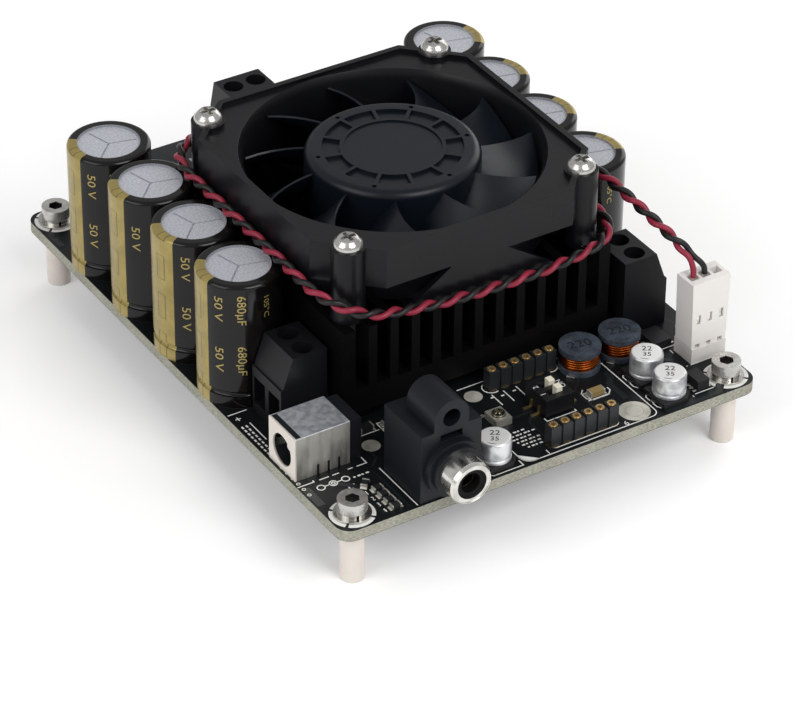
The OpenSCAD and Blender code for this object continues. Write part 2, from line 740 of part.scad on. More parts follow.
// One blade, lofted from root to tip. At each radius the section runs down from the
// leading edge at the top to the trailing edge, with a bowed mean line.
module fan_blade() {
    radial = 6;
    chord = 8;
    root_r = hub_r - hub_wall / 2;
    bow = 0.35;
    function radius(i) = root_r + (tip_r - root_r) * i / (radial - 1);
    function share(i) = i / (radial - 1);
    function lead_angle(i) = blade_span / 2 + blade_sweep * share(i) * (0.4 + 0.6 * share(i));
    function mean_z(s, i) = blade_z1 - 0.6 * share(i)
        - (blade_z1 - blade_z0 - 1.2 * share(i)) * (s + bow * s * (1 - s));
    function mean_a(s, i) = lead_angle(i) - blade_span * s;
    function slope(s, i) = atan2(
        -(blade_z1 - blade_z0 - 1.2 * share(i)) * (1 + bow * (1 - 2 * s)),
        -blade_span * PI / 180 * radius(i));
    function half_t(s) = blade_t / 2 * (0.35 + 2.6 * s * (1 - s));
    function at(s, i, side) = let (
        r = radius(i),
        n = slope(s, i) + 90,
        a = mean_a(s, i) + side * half_t(s) * cos(n) / r * 180 / PI,
        z = mean_z(s, i) + side * half_t(s) * sin(n)
    ) [r * cos(a), r * sin(a), z];
    points = [for (side = [-1, 1], i = [0 : radial - 1], j = [0 : chord - 1])
        at(j / (chord - 1), i, side)];
    function id(side, i, j) = side * radial * chord + i * chord + j;
    skins = [for (side = [0, 1], i = [0 : radial - 2], j = [0 : chord - 2])
        let (q = [id(side, i, j), id(side, i, j + 1), id(side, i + 1, j + 1), id(side, i + 1, j)])
        side == 0 ? q : [q[3], q[2], q[1], q[0]]];
    edges = [for (i = [0 : radial - 2], j = [0, chord - 1])
        let (q = [id(0, i, j), id(0, i + 1, j), id(1, i + 1, j), id(1, i, j)])
        j == 0 ? q : [q[3], q[2], q[1], q[0]]];
    ends = [for (i = [0, radial - 1], j = [0 : chord - 2])
        let (q = [id(0, i, j), id(1, i, j), id(1, i, j + 1), id(0, i, j + 1)])
        i == 0 ? q : [q[3], q[2], q[1], q[0]]];
    faces = [for (f = concat(skins, edges, ends)) each [[f[2], f[1], f[0]], [f[3], f[2], f[0]]]];
    polyhedron(points = points, faces = faces, convexity = 4);
}

module rotor_yoke() {
    yoke_h = cavity_z1 - hub_z0 - 0.5;
    color("#6d7076") translate([0, sink_back, cavity_z1 - yoke_h])
        ring(hub_r - hub_wall, yoke_r0, yoke_h);
}

module rotor_shaft() {
    shaft_z0 = fan_z0 + motor_plate_t + 0.3;
    color("silver") translate([0, sink_back, shaft_z0]) cylinder(h = shaft_z1 - shaft_z0, d = shaft_d);
}

module fan_bearings() {
    low_z = fan_z0 + motor_plate_t + 0.6;
    high_z = tube_z1 - bearing_h;
    color("lightgray") translate([0, sink_back, 0]) for (z = [low_z, high_z])
        translate([0, 0, z]) ring(bearing_d / 2, shaft_d / 2 + running_gap, bearing_h);
}

module fan_stator() {
    core_h = 5;
    coil_h = 1;
    core_z = hub_z0 + 1;
    pole_w = 4.2;
    color("#b06a34") translate([0, sink_back, core_z]) difference() {
        union() {
            cylinder(h = core_h, r = tube_r + 2);
            for (a = [0 : 90 : 270]) rotate([0, 0, a]) {
                translate([tube_r, -pole_w / 2, 0]) cube([stator_r - tube_r - 1, pole_w, core_h]);
                translate([tube_r + 2.4, -pole_w / 2 - coil_h, -coil_h / 2])
                    cube([stator_r - tube_r - 4.4, pole_w + 2 * coil_h, core_h + coil_h]);
                intersection() {
                    ring(stator_r, stator_r - 1.4, core_h);
                    translate([0, -pole_w * 1.2, -1]) cube([stator_r + 1, pole_w * 2.4, core_h + 2]);
                }
            }
        }
        translate([0, 0, -1]) cylinder(h = core_h + 2, r = tube_r);
    }
}

module fan_screws() {
    color("silver") translate([0, sink_back, 0]) at_corners(fan_pitch / 2, fan_pitch / 2) {
        translate([0, 0, fan_z1]) pan_head();
        translate([0, 0, fan_z0 - fan_screw_reach])
            cylinder(h = fan_t + fan_screw_reach + eps, d = screw_d);
    }
}

// Twisted pair of the fan, as one tube along its route
module fan_lead() {
    n = len(lead_route);
    function unit(v) = v / norm(v);
    function heading(i) = unit(lead_route[min(i + 1, n - 1)] - lead_route[max(i - 1, 0)]);
    function aside(i) = let (h = heading(i)) unit([h.y, -h.x, 0]);
    function across(i) = cross(aside(i), i == n - 1 ? [0, 0, -1] : heading(i));
    function around(i, k) = let (a = k * 360 / lead_sides) aside(i) * cos(a) + across(i) * sin(a);
    points = [for (i = [0 : n - 1], k = [0 : lead_sides - 1])
        lead_route[i] + lead_pair_d / 2 * around(i, k)];
    walls = [for (i = [0 : n - 2], k = [0 : lead_sides - 1])
        let (a = i * lead_sides, b = a + lead_sides, k1 = (k + 1) % lead_sides)
        each [[a + k, a + k1, b + k1], [a + k, b + k1, b + k]]];
    first_end = [for (k = [lead_sides - 1 : -1 : 0]) k];
    last_end = [for (k = [0 : lead_sides - 1]) (n - 1) * lead_sides + k];
    faces = concat(walls, [first_end, last_end]);
    color("#a01c2c") polyhedron(points = points, faces = faces, convexity = 8);
}

// Fan header and plug

module fan_header() {
    color("whitesmoke") {
        translate([header_x, header_y, board_z1]) block(header_w, header_l, header_base_h);
        for (p = header_leads) translate([p.x, p.y, board_z1 + header_base_h - eps])
            block(header_pin, header_pin, header_pin_h);
        leads(header_leads, board_z1 + eps);
    }
}

module fan_plug() {
    window_w = 0.9;
    window_h = 2;
    notch_w = 1;
    notch_h = 0.8;
    color("ivory") translate([header_x, header_y, board_z1 + header_base_h]) difference() {
        translate([0, plug_l / 2, 0]) rotate([90, 0, 0]) linear_extrude(plug_l) polygon([
            [-header_w / 2, 0], [header_w / 2, 0],
            [plug_w_top / 2, plug_h], [-plug_w_top / 2, plug_h]]);
        for (x = row(header_n, pin_pitch)) translate([x, 0, 0]) {
            translate([0, 0, -1]) block(plug_cavity, plug_cavity, plug_h + 2);
            translate([-window_w / 2, -plug_l, plug_h * 0.36]) cube([window_w, plug_l, window_h]);
            translate([-notch_w / 2, -plug_l / 2 - 1, -1]) cube([notch_w, 2.2, notch_h + 1]);
        }
    }
}

// Capacitors

// Can in its sleeve: crimped near the foot, sleeve curled over the top rim, a scored vent
module bulk_capacitor(place) {
    r = cap_d / 2;
    crimp_z = 3;
    crimp_r = 0.5;
    curl = 0.8;
    vent_r = r - 2;
    vent_depth = 0.5;
    score = 0.35;
    score_turn = 106;
    color("#3a3520") {
        translate([place.x, place.y, board_z1]) difference() {
            rotate_extrude() difference() {
                union() {
                    square([r, cap_h - curl]);
                    square([r - curl, cap_h]);
                    translate([r - curl, cap_h - curl]) circle(curl, $fn = 32);
                }
                translate([r + crimp_r * 0.3, crimp_z]) circle(crimp_r * 1.3, $fn = 32);
                translate([-1, cap_h - vent_depth]) square([vent_r + 1, 2 * vent_depth]);
            }
            for (i = [0 : 2]) rotate([0, 0, score_turn + 120 * i])
                translate([0, -score / 2, cap_h - vent_depth - score]) cube([vent_r - 0.6, score, 1]);
        }
        leads(cap_leads(place), board_z1 + eps);
    }
}

module signal_capacitors() {
    base_h = 1.1;
    base_cut = 2;
    half = small_base_w / 2;
    color("#c8cacc") for (p = small_cap_places) translate([p.x, p.y, board_z1]) {
        linear_extrude(base_h) difference() {
            square(small_base_w, center = true);
            for (s = [-1, 1]) translate([half, s * half]) rotate([0, 0, 45]) square(base_cut, center = true);
        }
        translate([0, 0, base_h - eps]) rotate_extrude()
            small_can_section(small_cap_d / 2, small_cap_h - base_h);
    }
}

// Half section of a small can with a bead above its foot and a round top edge
module small_can_section(r, h) {
    edge = 0.6;
    difference() {
        union() {
            square([r, h - edge]);
            square([r - edge, h]);
            translate([r - edge, h - edge]) circle(edge, $fn = 32);
        }
        translate([r + 0.15, 0.9]) circle(0.4, $fn = 32);
        translate([-1, -1]) square([1, h + 2]);
    }
}

// Power jack

// Body in the shield, bare in a strip behind the face and at the back
module dc_jack_housing() {
    inner_w = dc_w - 2 * shield_t;
    bore_from = dc_x0 + dc_face_t;
    color("#18191b") {
        difference() {
            translate([bore_from, dc_y - inner_w / 2, board_z1]) {
                cube([dc_body_l - dc_face_t, inner_w, dc_h - shield_t]);
                cube([dc_strip_l, inner_w, dc_h]);
            }
            translate([bore_from - 1, dc_y, board_z1 + dc_axis_h]) rotate([0, 90, 0])
                cylinder(h = dc_hole_depth - dc_face_t + 1, d = dc_hole_d);
        }
        leads(dc_leads, board_z1 + eps);
    }
}

// Folded metal shield: a face with the jack's hole, a top behind the strip and two slotted sides
module dc_jack_shield() {
    slot_w = 0.5;
    slot_h = 2.2;
    inner_w = dc_w - 2 * shield_t;
    color("gainsboro") difference() {
        translate([dc_x0, dc_y - dc_w / 2, board_z1]) cube([dc_shield_l, dc_w, dc_h]);
        translate([dc_x0 + dc_face_t, dc_y - inner_w / 2, board_z1 - 1]) {
            cube([dc_shield_l, inner_w, dc_h - shield_t + 1]);
            cube([dc_strip_l, inner_w, dc_h + 2]);
        }
        translate([dc_x0 - 1, dc_y, board_z1 + dc_axis_h]) rotate([0, 90, 0])
            cylinder(h = dc_face_t + 2, d = dc_hole_d);
        for (x = shield_slots) translate([dc_x0 + x, dc_y - dc_w, board_z1 - 1])
            cube([slot_w, 2 * dc_w, slot_h + 1]);
    }
}

module dc_jack_pin() {
    pin_inset = 1.5;
    cone_l = 0.6;
    color("silver") translate([dc_x0 + pin_inset, dc_y, board_z1 + dc_axis_h]) rotate([0, 90, 0]) {
        cylinder(h = cone_l, d1 = dc_pin_d * 0.6, d2 = dc_pin_d, $fn = 32);
        translate([0, 0, cone_l - eps])
            cylinder(h = dc_hole_depth - pin_inset - cone_l + eps, d = dc_pin_d, $fn = 32);
    }
}

// Phono jack

// Body with a round-backed boss on top, a stepped collar and the insulator inside the barrel
module rca_housing() {
    slot_w = 4.6;
    slot_h = 1.4;
    slot_depth = 2;
    slot_gap = 0.2;
    slot_drop = boss_r + slot_gap;
    boss_z = board_z1 + rca_h + boss_rise;
    color("#1d1f24") {
        difference() {
            union() {
                translate([rca_x - rca_w / 2, rca_front, board_z1]) cube([rca_w, rca_l, rca_h]);
                translate([rca_x, rca_front, boss_z]) rotate([-90, 0, 0]) cylinder(h = boss_l, r = boss_r);
                translate([rca_x - boss_r, rca_front, board_z1 + rca_h - eps])
                    cube([2 * boss_r, boss_l, boss_rise + eps]);
                translate([rca_x, rca_front, rca_axis_z]) rotate([90, 0, 0]) {
                    cylinder(h = collar_l, d = collar_d);
                    cylinder(h = collar_top, d = collar_d - 2 * collar_step);
                    cylinder(h = barrel_l - insulator_inset, d = insulator_d);
                }
            }
            translate([rca_x, rca_front - 1, boss_z]) rotate([-90, 0, 0])
                cylinder(h = boss_hole_depth + 1, d = boss_hole_d);
            translate([rca_x - slot_w / 2, rca_front - 1, boss_z - slot_drop - slot_h / 2])
                cube([slot_w, slot_depth + 1, slot_h]);
            translate([rca_x, rca_front - barrel_l - 1, rca_axis_z]) rotate([-90, 0, 0])
                cylinder(h = barrel_l + tip_hole_depth + 1, d = tip_hole_d + 2 * contact_wall);
        }
        leads(rca_leads, board_z1 + eps);
    }
}

// Barrel on the insulator, against the collar
module rca_barrel() {
    lip = 0.7;
    color("silver") translate([rca_x, rca_front, rca_axis_z]) rotate([90, 0, 0]) difference() {
        union() {
            translate([0, 0, collar_top]) cylinder(h = barrel_l - collar_top - lip, d = barrel_d);
            translate([0, 0, barrel_l - lip - eps])
                cylinder(h = lip + eps, d1 = barrel_d, d2 = barrel_d - lip);
        }
        translate([0, 0, -1]) cylinder(h = barrel_l + 2, d = insulator_d);
    }
}

module rca_contact() {
    color("goldenrod") translate([rca_x, rca_front + tip_hole_depth, rca_axis_z]) rotate([90, 0, 0])
        ring(tip_hole_d / 2 + contact_wall, tip_hole_d / 2, tip_hole_depth + barrel_l - contact_inset);
}

// Socket strips

// Rows of square posts on a thin web
module socket_strips() {
    post_w = pin_pitch - strip_groove;
    web_l = (strip_n - 1) * pin_pitch + post_w;
    color("#26282b") for (y = [strip_front_y, strip_front_y + strip_gap])
        translate([strip_x, y, board_z1]) difference() {
            union() {
                block(web_l, strip_w - 2 * strip_groove + 0.4, strip_h - strip_groove);
                for (x = row(strip_n, pin_pitch)) translate([x, 0, 0]) block(post_w, strip_w, strip_h);
            }
            for (x = row(strip_n, pin_pitch)) translate([x, 0, -1])
                cylinder(h = strip_h + 2, d = contact_d, $fn = 24);
        }
}

module socket_contacts() {
    hole_depth = 3;
    top = strip_h + contact_rise;
    color("goldenrod") for (y = [strip_front_y, strip_front_y + strip_gap], p = strip_leads(y)) {
        translate([p.x, p.y, board_z1]) difference() {
            cylinder(h = top, d = contact_d, $fn = 24);
            translate([0, 0, top - hole_depth]) cylinder(h = hole_depth + 1, d = contact_hole_d, $fn = 16);
        }
        leads([p], board_z1 + eps);
    }
}

// Chokes and output inductors

module choke_cores() {
    flange_h = 1.1;
    color("#5c6068") for (p = choke_places) translate([p.x, p.y, board_z1]) {
        cylinder(h = flange_h, d = choke_d);
        cylinder(h = choke_h, d = choke_d * 0.5);
        translate([0, 0, choke_h - flange_h]) cylinder(h = flange_h, d = choke_d);
    }
}

module choke_windings() {
    flange_h = 1.1;
    color("#b5651d") for (p = choke_places) translate([p.x, p.y, board_z1 + flange_h])
        ring(choke_d * 0.44, choke_d * 0.25, choke_h - 2 * flange_h);
}

module output_inductors() {
    color("#4d5054") {
        for (p = inductor_places) translate([p.x, p.y, board_z1]) linear_extrude(inductor_h)
            rounded_rect(inductor_w, inductor_l, inductor_round);
        leads(inductor_leads, board_z1 + eps);
    }
}

// Switch, trimmer and chips

module dip_switch_housing() {
    slot_l = slider_l + slider_travel + 2 * small_gap;
    lead_w = 0.6;
    color("#151618") translate([dip_place.x, dip_place.y, board_z1]) {
        difference() {
            translate([0, 0, dip_stand]) block(dip_w, dip_l, dip_h);
            for (y = row(2, slider_pitch)) translate([0, y, dip_stand + dip_h - slider_sunk - small_gap])
                block(slot_l, slider_w + 2 * small_gap, slider_sunk + 1);
        }
        for (s = [-1, 1], y = row(2, slider_pitch)) translate([s * (dip_w / 2 + 0.9), y, 0]) {
            block(1.8, lead_w, 0.3);
            translate([-s * 0.8, 0, 0]) block(0.3, lead_w, dip_stand + 1.4);
        }
    }
}

module dip_slider(i) {
    y = row(2, slider_pitch)[i];
    z = board_z1 + dip_stand + dip_h - slider_sunk - small_gap / 2;
    color("whitesmoke") translate([dip_place.x + slider_travel / 2, dip_place.y + y, z])
        block(slider_l, slider_w, slider_h);
}

module trimmer_body() {
    color("#d9d4c2") translate([trimmer_place.x, trimmer_place.y, board_z1]) difference() {
        block(trimmer_w, trimmer_w + 0.6, trimmer_h);
        translate([0, 0, trimmer_h - trimmer_sunk]) cylinder(h = 2, d = trimmer_rotor_d + 2 * small_gap);
    }
}

module trimmer_rotor() {
    z = board_z1 + trimmer_h - trimmer_sunk + small_gap / 4;
    color("#c9b38a") translate([trimmer_place.x, trimmer_place.y, z]) difference() {
        cylinder(h = trimmer_rotor_h, d = trimmer_rotor_d);
        for (a = [0, 90]) rotate([0, 0, a]) translate([0, 0, trimmer_rotor_h - 0.4])
            block(trimmer_rotor_d * 0.8, 0.45, 1);
    }
}

module board_chips() {
    color("#3b3c3e") for (c = chips)
        translate([(c[0] < 0 ? right_edge : left_edge) + c[0], front_edge + c[1], board_z1])
            rotate([0, 0, c[5]]) block(c[2], c[3], c[4]);
}

// Screw terminals. Local frame: the wire face is x = 0 and looks along +X, the poles are along Y
// and z = 0 is on the board.

module place_terminal(which) {
    if (which == "power")
        translate([left_edge + power_inset, power_y, board_z1]) rotate([0, 0, 180]) children();
    if (which == "aux")
        translate([right_edge - aux_inset, aux_y, board_z1]) children();
    if (which == "speaker")
        translate([speaker_x, back_edge + speaker_overhang, board_z1]) rotate([0, 0, 90]) children();
}

function terminal_height(which) = which == "speaker" ? speaker_term_h : term_h;

module at_poles() {
    for (y = row(2, pole_pitch)) translate([0, y, 0]) children();
}

module terminal_housing(which) {
    h = terminal_height(which);
    lead_x0 = term_lead_x - lead_d / 2 - small_gap;
    color("#202225") place_terminal(which) difference() {
        translate([0, term_l / 2, 0]) rotate([90, 0, 0]) linear_extrude(term_l) polygon([
            [0, 0], [0, term_face_h], [-term_ledge, term_face_h],
            [-term_ledge - term_slope, h], [-term_depth, h], [-term_depth, 0]]);
        at_poles() {
            translate([term_screw_x, -window_w / 2, window_z0])
                cube([-term_screw_x + 1, window_w, window_h]);
            translate([term_screw_x, 0, clamp_z0 - 0.2]) block(cage_room_l, window_w, clamp_room);
            translate([term_screw_x, 0, window_z0]) cylinder(h = h, d = well_d);
            translate([lead_x0, -bar_w / 2 - small_gap, -1])
                cube([term_screw_x - lead_x0, bar_w + 2 * small_gap, bar_z0 + bar_t + small_gap + 1]);
        }
    }
}

// Contact bar that the wire is clamped against, with its soldered lead
module terminal_contacts() {
    bar_l = term_screw_x - term_lead_x + lead_d / 2 + 1.8;
    color("silver") for (which = poles) place_terminal(which) at_poles() {
        translate([term_lead_x - lead_d / 2, -bar_w / 2, bar_z0]) cube([bar_l, bar_w, bar_t]);
        translate([term_lead_x, 0, -board_t - lead_tail])
            cylinder(h = bar_z0 + board_t + lead_tail + eps, d = lead_d, $fn = 16);
    }
}

// Slotted screw that turns in place and draws the clamp up
module terminal_screw(which, i) {
    y = row(2, pole_pitch)[i];
    tip_z = bar_z0 + bar_t + small_gap;
    head_z = clamp_z0 + clamp_h + clamp_travel + 0.5;
    color("silver") place_terminal(which) translate([term_screw_x, y, 0]) difference() {
        union() {
            translate([0, 0, tip_z]) cylinder(h = head_z - tip_z + eps, d = screw_d, $fn = 32);
            translate([0, 0, head_z])
                cylinder(h = term_screw_head_h, d = term_screw_head_d, $fn = 32);
        }
        translate([0, 0, head_z + term_screw_head_h - 0.8]) block(term_screw_head_d + 1, 0.7, 2);
    }
}

// Rising clamp: a cage round the contact bar, threaded on the screw
module terminal_clamp(which, i) {
    y = row(2, pole_pitch)[i];
    color("#c8ccd0") place_terminal(which) translate([term_screw_x, y, clamp_z0]) difference() {
        block(clamp_l, clamp_w, clamp_h);
        translate([0, 0, clamp_wall]) block(clamp_l + 1, clamp_w - 1, clamp_h - 2 * clamp_wall);
        cylinder(h = clamp_h + 1, d = screw_d + 2 * small_gap, $fn = 32);
    }
}

circuit_board();
standoffs();
corner_screws();
corner_washers();
heatsink();
heatsink_screws();
power_transistors();
thermal_pad();
fan_frame();
fan_rotor();
rotor_yoke();
rotor_shaft();
fan_bearings();
fan_stator();
fan_screws();
fan_lead();
fan_plug();
fan_header();
dc_jack_housing();
dc_jack_shield();
dc_jack_pin();
rca_housing();
rca_barrel();
rca_contact();
socket_strips();
socket_contacts();
choke_cores();
choke_windings();
signal_capacitors();
dip_switch_housing();
dip_slider(0);  // dip_slider_1
dip_slider(1);  // dip_slider_2
output_inductors();
trimmer_body();
trimmer_rotor();
board_chips();
terminal_contacts();
for (i = [0 : cap_count - 1]) {
    bulk_capacitor(left_cap(i));
    bulk_capacitor(right_cap(i));
}
for (p = poles) {
    terminal_housing(p);
    for (i = [0, 1]) {
        terminal_screw(p, i);
        terminal_clamp(p, i);
    }
}
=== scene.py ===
"""Finishes, wiring and print of a fan-cooled audio amplifier board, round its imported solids."""
import math

import bmesh
import bpy
import numpy as np
from mathutils import Matrix, Vector


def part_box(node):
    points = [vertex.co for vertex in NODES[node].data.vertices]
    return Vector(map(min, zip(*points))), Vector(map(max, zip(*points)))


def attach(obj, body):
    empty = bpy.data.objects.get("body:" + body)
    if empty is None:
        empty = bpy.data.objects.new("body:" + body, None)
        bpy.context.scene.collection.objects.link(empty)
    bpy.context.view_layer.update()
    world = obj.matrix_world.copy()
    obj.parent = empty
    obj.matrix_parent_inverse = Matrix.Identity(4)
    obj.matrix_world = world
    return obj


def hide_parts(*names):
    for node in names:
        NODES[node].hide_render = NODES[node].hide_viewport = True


bl_info = {
    "name": "Amplifier board looks",
    "version": (1, 0, 0),
    "blender": (4, 5, 0),
    "location": "View3D > Sidebar > Amplifier",
    "description": "Finishes, wiring and print of a fan-cooled amplifier board",
    "category": "Object",
}

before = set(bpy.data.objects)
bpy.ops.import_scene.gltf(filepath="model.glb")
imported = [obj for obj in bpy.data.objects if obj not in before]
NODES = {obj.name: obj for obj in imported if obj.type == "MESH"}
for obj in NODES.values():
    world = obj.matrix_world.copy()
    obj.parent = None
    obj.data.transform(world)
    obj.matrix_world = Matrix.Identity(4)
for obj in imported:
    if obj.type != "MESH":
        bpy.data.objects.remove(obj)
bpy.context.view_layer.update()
MM = 0.001

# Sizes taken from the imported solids, in millimetres


def span(node):
    """Lowest and highest corner of a CAD node, in millimetres."""
    low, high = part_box(node)
    return np.array(low) / MM, np.array(high) / MM


def middle(node):
    """Centre of a CAD node's box, in millimetres."""
    low, high = span(node)
    return (low + high) / 2


BOARD_UNDER = span("circuit_board")[0][2]
BACK, BOARD_TOP = span("circuit_board")[1][1:]
FAN_X, FAN_Y = middle("rotor_shaft")[:2]
FAN_FOOT = span("fan_frame")[0][2]
SOCKET_HEAD_R = 2.75
CORNER_X, CORNER_Y = span("corner_screws")[1][:2] - SOCKET_HEAD_R
CORNERS = [(sx * CORNER_X, sy * CORNER_Y) for sx in (-1, 1) for sy in (-1, 1)]
COPPER_LIFT = 0.05
INK_LIFT = 0.03
PITCH = 2.54
POLE_PITCH = 5.08
ROWS = ("left", "right")
POLES = ("power", "aux", "speaker")
CAP_R = 8.0
CAP_LEAD_GAP = 7.5
STRIP_X, STRIP_Y = middle("socket_strips")[:2]
STRIP_GAP = 8 * PITCH
SOCKET_X = STRIP_X + PITCH * (np.arange(6) - 2.5)
NEAR_STRIP, FAR_STRIP = STRIP_Y - STRIP_GAP / 2, STRIP_Y + STRIP_GAP / 2
SOCKETS = [(x, y) for y in (NEAR_STRIP, FAR_STRIP) for x in SOCKET_X]
RCA_X = middle("rca_housing")[0]
DIP = middle("dip_switch_housing")
CHOKE_R = 4
CHOKES = [(span("choke_cores")[0][0] + CHOKE_R, middle("choke_cores")[1]),
          (span("choke_cores")[1][0] - CHOKE_R, middle("choke_cores")[1])]
INDUCTOR_HALF = 10.5
INDUCTORS = [(side * (span("output_inductors")[1][0] - INDUCTOR_HALF), middle("output_inductors")[1])
             for side in (-1, 1)]
SMALL_CAPS = [(27.7, -55.4), (27.7, -48.0), (-10.7, -55.5)]
# Each chip: x, y, width, length, height and angle
CHIPS = [
    (35.7, -39.6, 4, 5, 1.5, 0), (16.6, -47.9, 3.2, 1.6, 1.1, 0), (34.3, -55, 2.6, 4.2, 2.1, 0),
    (-34.2, -49.5, 2, 1.25, 0.7, 45), (-33, -51.8, 2, 1.25, 0.7, 0), (-33, -53.8, 2, 1.25, 0.7, 0),
    (-33, -55.8, 2, 1.25, 0.7, 0), (-33, -57.8, 2, 1.25, 0.8, 0), (-25.5, -35.5, 2.9, 1.6, 1.1, 0),
    (-21, -35.8, 2, 1.25, 0.7, 0), (-14.5, -39.5, 2, 1.25, 0.7, 90), (-8.5, -39.2, 2, 1.25, 0.7, 0)]

# The lead's route, the same points as the solid's: from the fan's centre, on the plane of its foot
LEAD_SHAPE = [
    (24.4, -15.4, 2.9), (27.2, -17.0, 2.8), (29.6, -19.0, 2.7), (30.9, -22.0, 2.5), (30.7, -25.4, 2.2),
    (29.0, -28.6, 1.9), (25.4, -30.8, 1.5), (19.6, -31.6, 1.0), (12.5, -31.7, 0.5), (5.0, -31.7, 0.5),
    (-2.5, -31.7, 0.7), (-10.0, -31.7, 1.3), (-17.5, -31.7, 2.3), (-23.5, -31.4, 3.5), (-27.6, -29.6, 4.8),
    (-30.4, -26.0, 6.0), (-31.5, -21.0, 6.7), (-31.5, -13.4, 7.0), (-31.5, -5.4, 7.1), (-31.5, 2.6, 7.2),
    (-31.5, 10.6, 7.3), (-31.5, 17.6, 7.4), (-31.3, 23.2, 7.5), (-29.5, 28.0, 7.6), (-25.6, 30.9, 7.6),
    (-20.0, 31.6, 7.7), (-12.0, 31.7, 7.7), (-4.0, 31.7, 7.8), (4.0, 31.7, 7.9), (12.0, 31.7, 8.0),
    (20.0, 31.6, 8.1), (25.6, 30.9, 8.2), (29.5, 28.0, 8.3), (31.3, 23.2, 8.4), (31.6, 16.6, 8.5),
    (31.6, 8.6, 8.6), (31.7, 0.6, 8.7), (32.0, -7.4, 8.7), (32.6, -14.4, 8.6), (33.5, -20.9, 8.1),
    (34.4, -26.9, 6.9), (35.5, -32.4, 5.2), (37.0, -37.4, 3.0), (38.7, -41.2, 0.4), (39.6, -42.7, -1.6),
    (39.7, -43.0, -3.4)]
LEAD_ROUTE = np.array(LEAD_SHAPE) + (FAN_X, FAN_Y, FAN_FOOT)


def caps(row):
    """Names of one row's bulk capacitors."""
    return ["%s_capacitor_%d" % (row, i) for i in (1, 2, 3, 4)]


def lead_places():
    """Where the soldered leads go through the board, as x and y."""
    bulk = [middle(c)[:2] + (0, side * CAP_LEAD_GAP / 2) for row in ROWS for c in caps(row) for side in (-1, 1)]
    header = [middle("fan_header")[:2] + (i * PITCH, 0) for i in (-1, 0, 1)]
    behind_face, pole = 8.7, POLE_PITCH / 2
    power, aux, speaker = (span(p + "_terminal_housing") for p in POLES)
    sides = [(x, middle(p + "_terminal_housing")[1] + s * pole) for s in (-1, 1)
             for p, x in (("power", power[0][0] + behind_face), ("aux", aux[1][0] - behind_face))]
    back = [(middle("speaker_terminal_housing")[0] + s * pole, speaker[1][1] - behind_face) for s in (-1, 1)]
    jack = [(span("dc_jack_shield")[0][0] + x, middle("dc_jack_shield")[1]) for x in (4, 12)]
    rear = span("rca_housing")[1][1]
    phono = [(RCA_X - 3, rear - 3.2), (RCA_X + 3, rear - 3.2), (RCA_X, rear - 8.2)]
    coils = [(x + s * 6, y) for x, y in INDUCTORS for s in (-1, 1)]
    return np.array([tuple(p) for p in [*bulk, *SOCKETS, *header, *sides, *back, *jack, *phono, *coils]])


# Shapes: arrays of points and faces


def tone(code):
    """Linear colour of a screen colour code such as 3a3520."""
    part = np.array([int(code[i:i + 2], 16) for i in (0, 2, 4)]) / 255
    return tuple(np.where(part <= 0.04045, part / 12.92, ((part + 0.055) / 1.055) ** 2.4))


def quads(rows, cols, wrap_rows=False, wrap_cols=False):
    """Faces of a grid of points: each cell joins a point, the next in its row, and the two in the next row."""
    r = np.arange(rows if wrap_rows else rows - 1)[:, None]
    c = np.arange(cols if wrap_cols else cols - 1)[None, :]
    a, b = r % rows, (r + 1) % rows
    d, e = c % cols, (c + 1) % cols
    return np.stack([a * cols + d, a * cols + e, b * cols + e, b * cols + d], -1).reshape(-1, 4)


def revolve(profile, sides=24, ring=False):
    """Surface of turning: point (r, z) of the profile goes to (r cos t, r sin t, z) for t once round.
    The profile runs up the outside, with its ends on the axis, or is closed where it makes a ring."""
    r, z = np.asarray(profile, float).T
    t = np.linspace(0, 2 * np.pi, sides, endpoint=False)[None, :]
    grid = np.stack([r[:, None] * np.cos(t), r[:, None] * np.sin(t), z[:, None] + 0 * t], -1)
    return grid.reshape(-1, 3), quads(len(r), sides, wrap_rows=ring, wrap_cols=True)


def disc(radius, low, high, hole=0.0, sides=32):
    """Flat disc or ring between two heights: its rectangular section turned once round the z axis."""
    section = [(hole, low), (radius, low), (radius, high), (hole, high)]
    return revolve(section, sides, ring=hole > 0)


def block(size, place, edge=0.08):
    """Block with rounded edges: a ball of the edge's radius, (cos a cos b, cos a sin b, sin a), is cut in eight and
    each part moved out to its corner, with flat faces between them."""
    edge = min(edge, 0.3 * min(size))
    bend = np.linspace(0, np.pi / 2, 4)
    a = np.concatenate([bend - np.pi / 2, bend])[:, None]
    b = np.concatenate([bend + k * np.pi / 2 for k in range(4)])[None, :]
    ball = np.stack(np.broadcast_arrays(np.cos(a) * np.cos(b), np.cos(a) * np.sin(b), np.sin(a)), -1)
    right, back, top = (np.repeat(signs, 4) for signs in ([1, -1, -1, 1], [1, 1, -1, -1], [-1, 1]))
    corner = np.stack(np.broadcast_arrays(right[None, :], back[None, :], top[:, None]), -1)
    points = corner * (np.array(size) / 2 - edge) + edge * ball + np.array(place)
    faces = [*quads(8, 16, wrap_cols=True).tolist(), [12, 8, 4, 0], [112, 116, 120, 124]]
    return points.reshape(-1, 3), faces


def square_to(path):
    """Level and upward directions that stand square to a path, at each of its points."""
    heading = np.gradient(path, axis=0)
    heading /= np.linalg.norm(heading, axis=1, keepdims=True)
    level = np.stack([heading[:, 1], -heading[:, 0], 0 * heading[:, 0]], -1)
    size = np.linalg.norm(level, axis=1, keepdims=True)
    level = np.where(size > 1e-6, level / np.maximum(size, 1e-6), np.array([1.0, 0, 0]))
    return level, np.cross(level, heading)


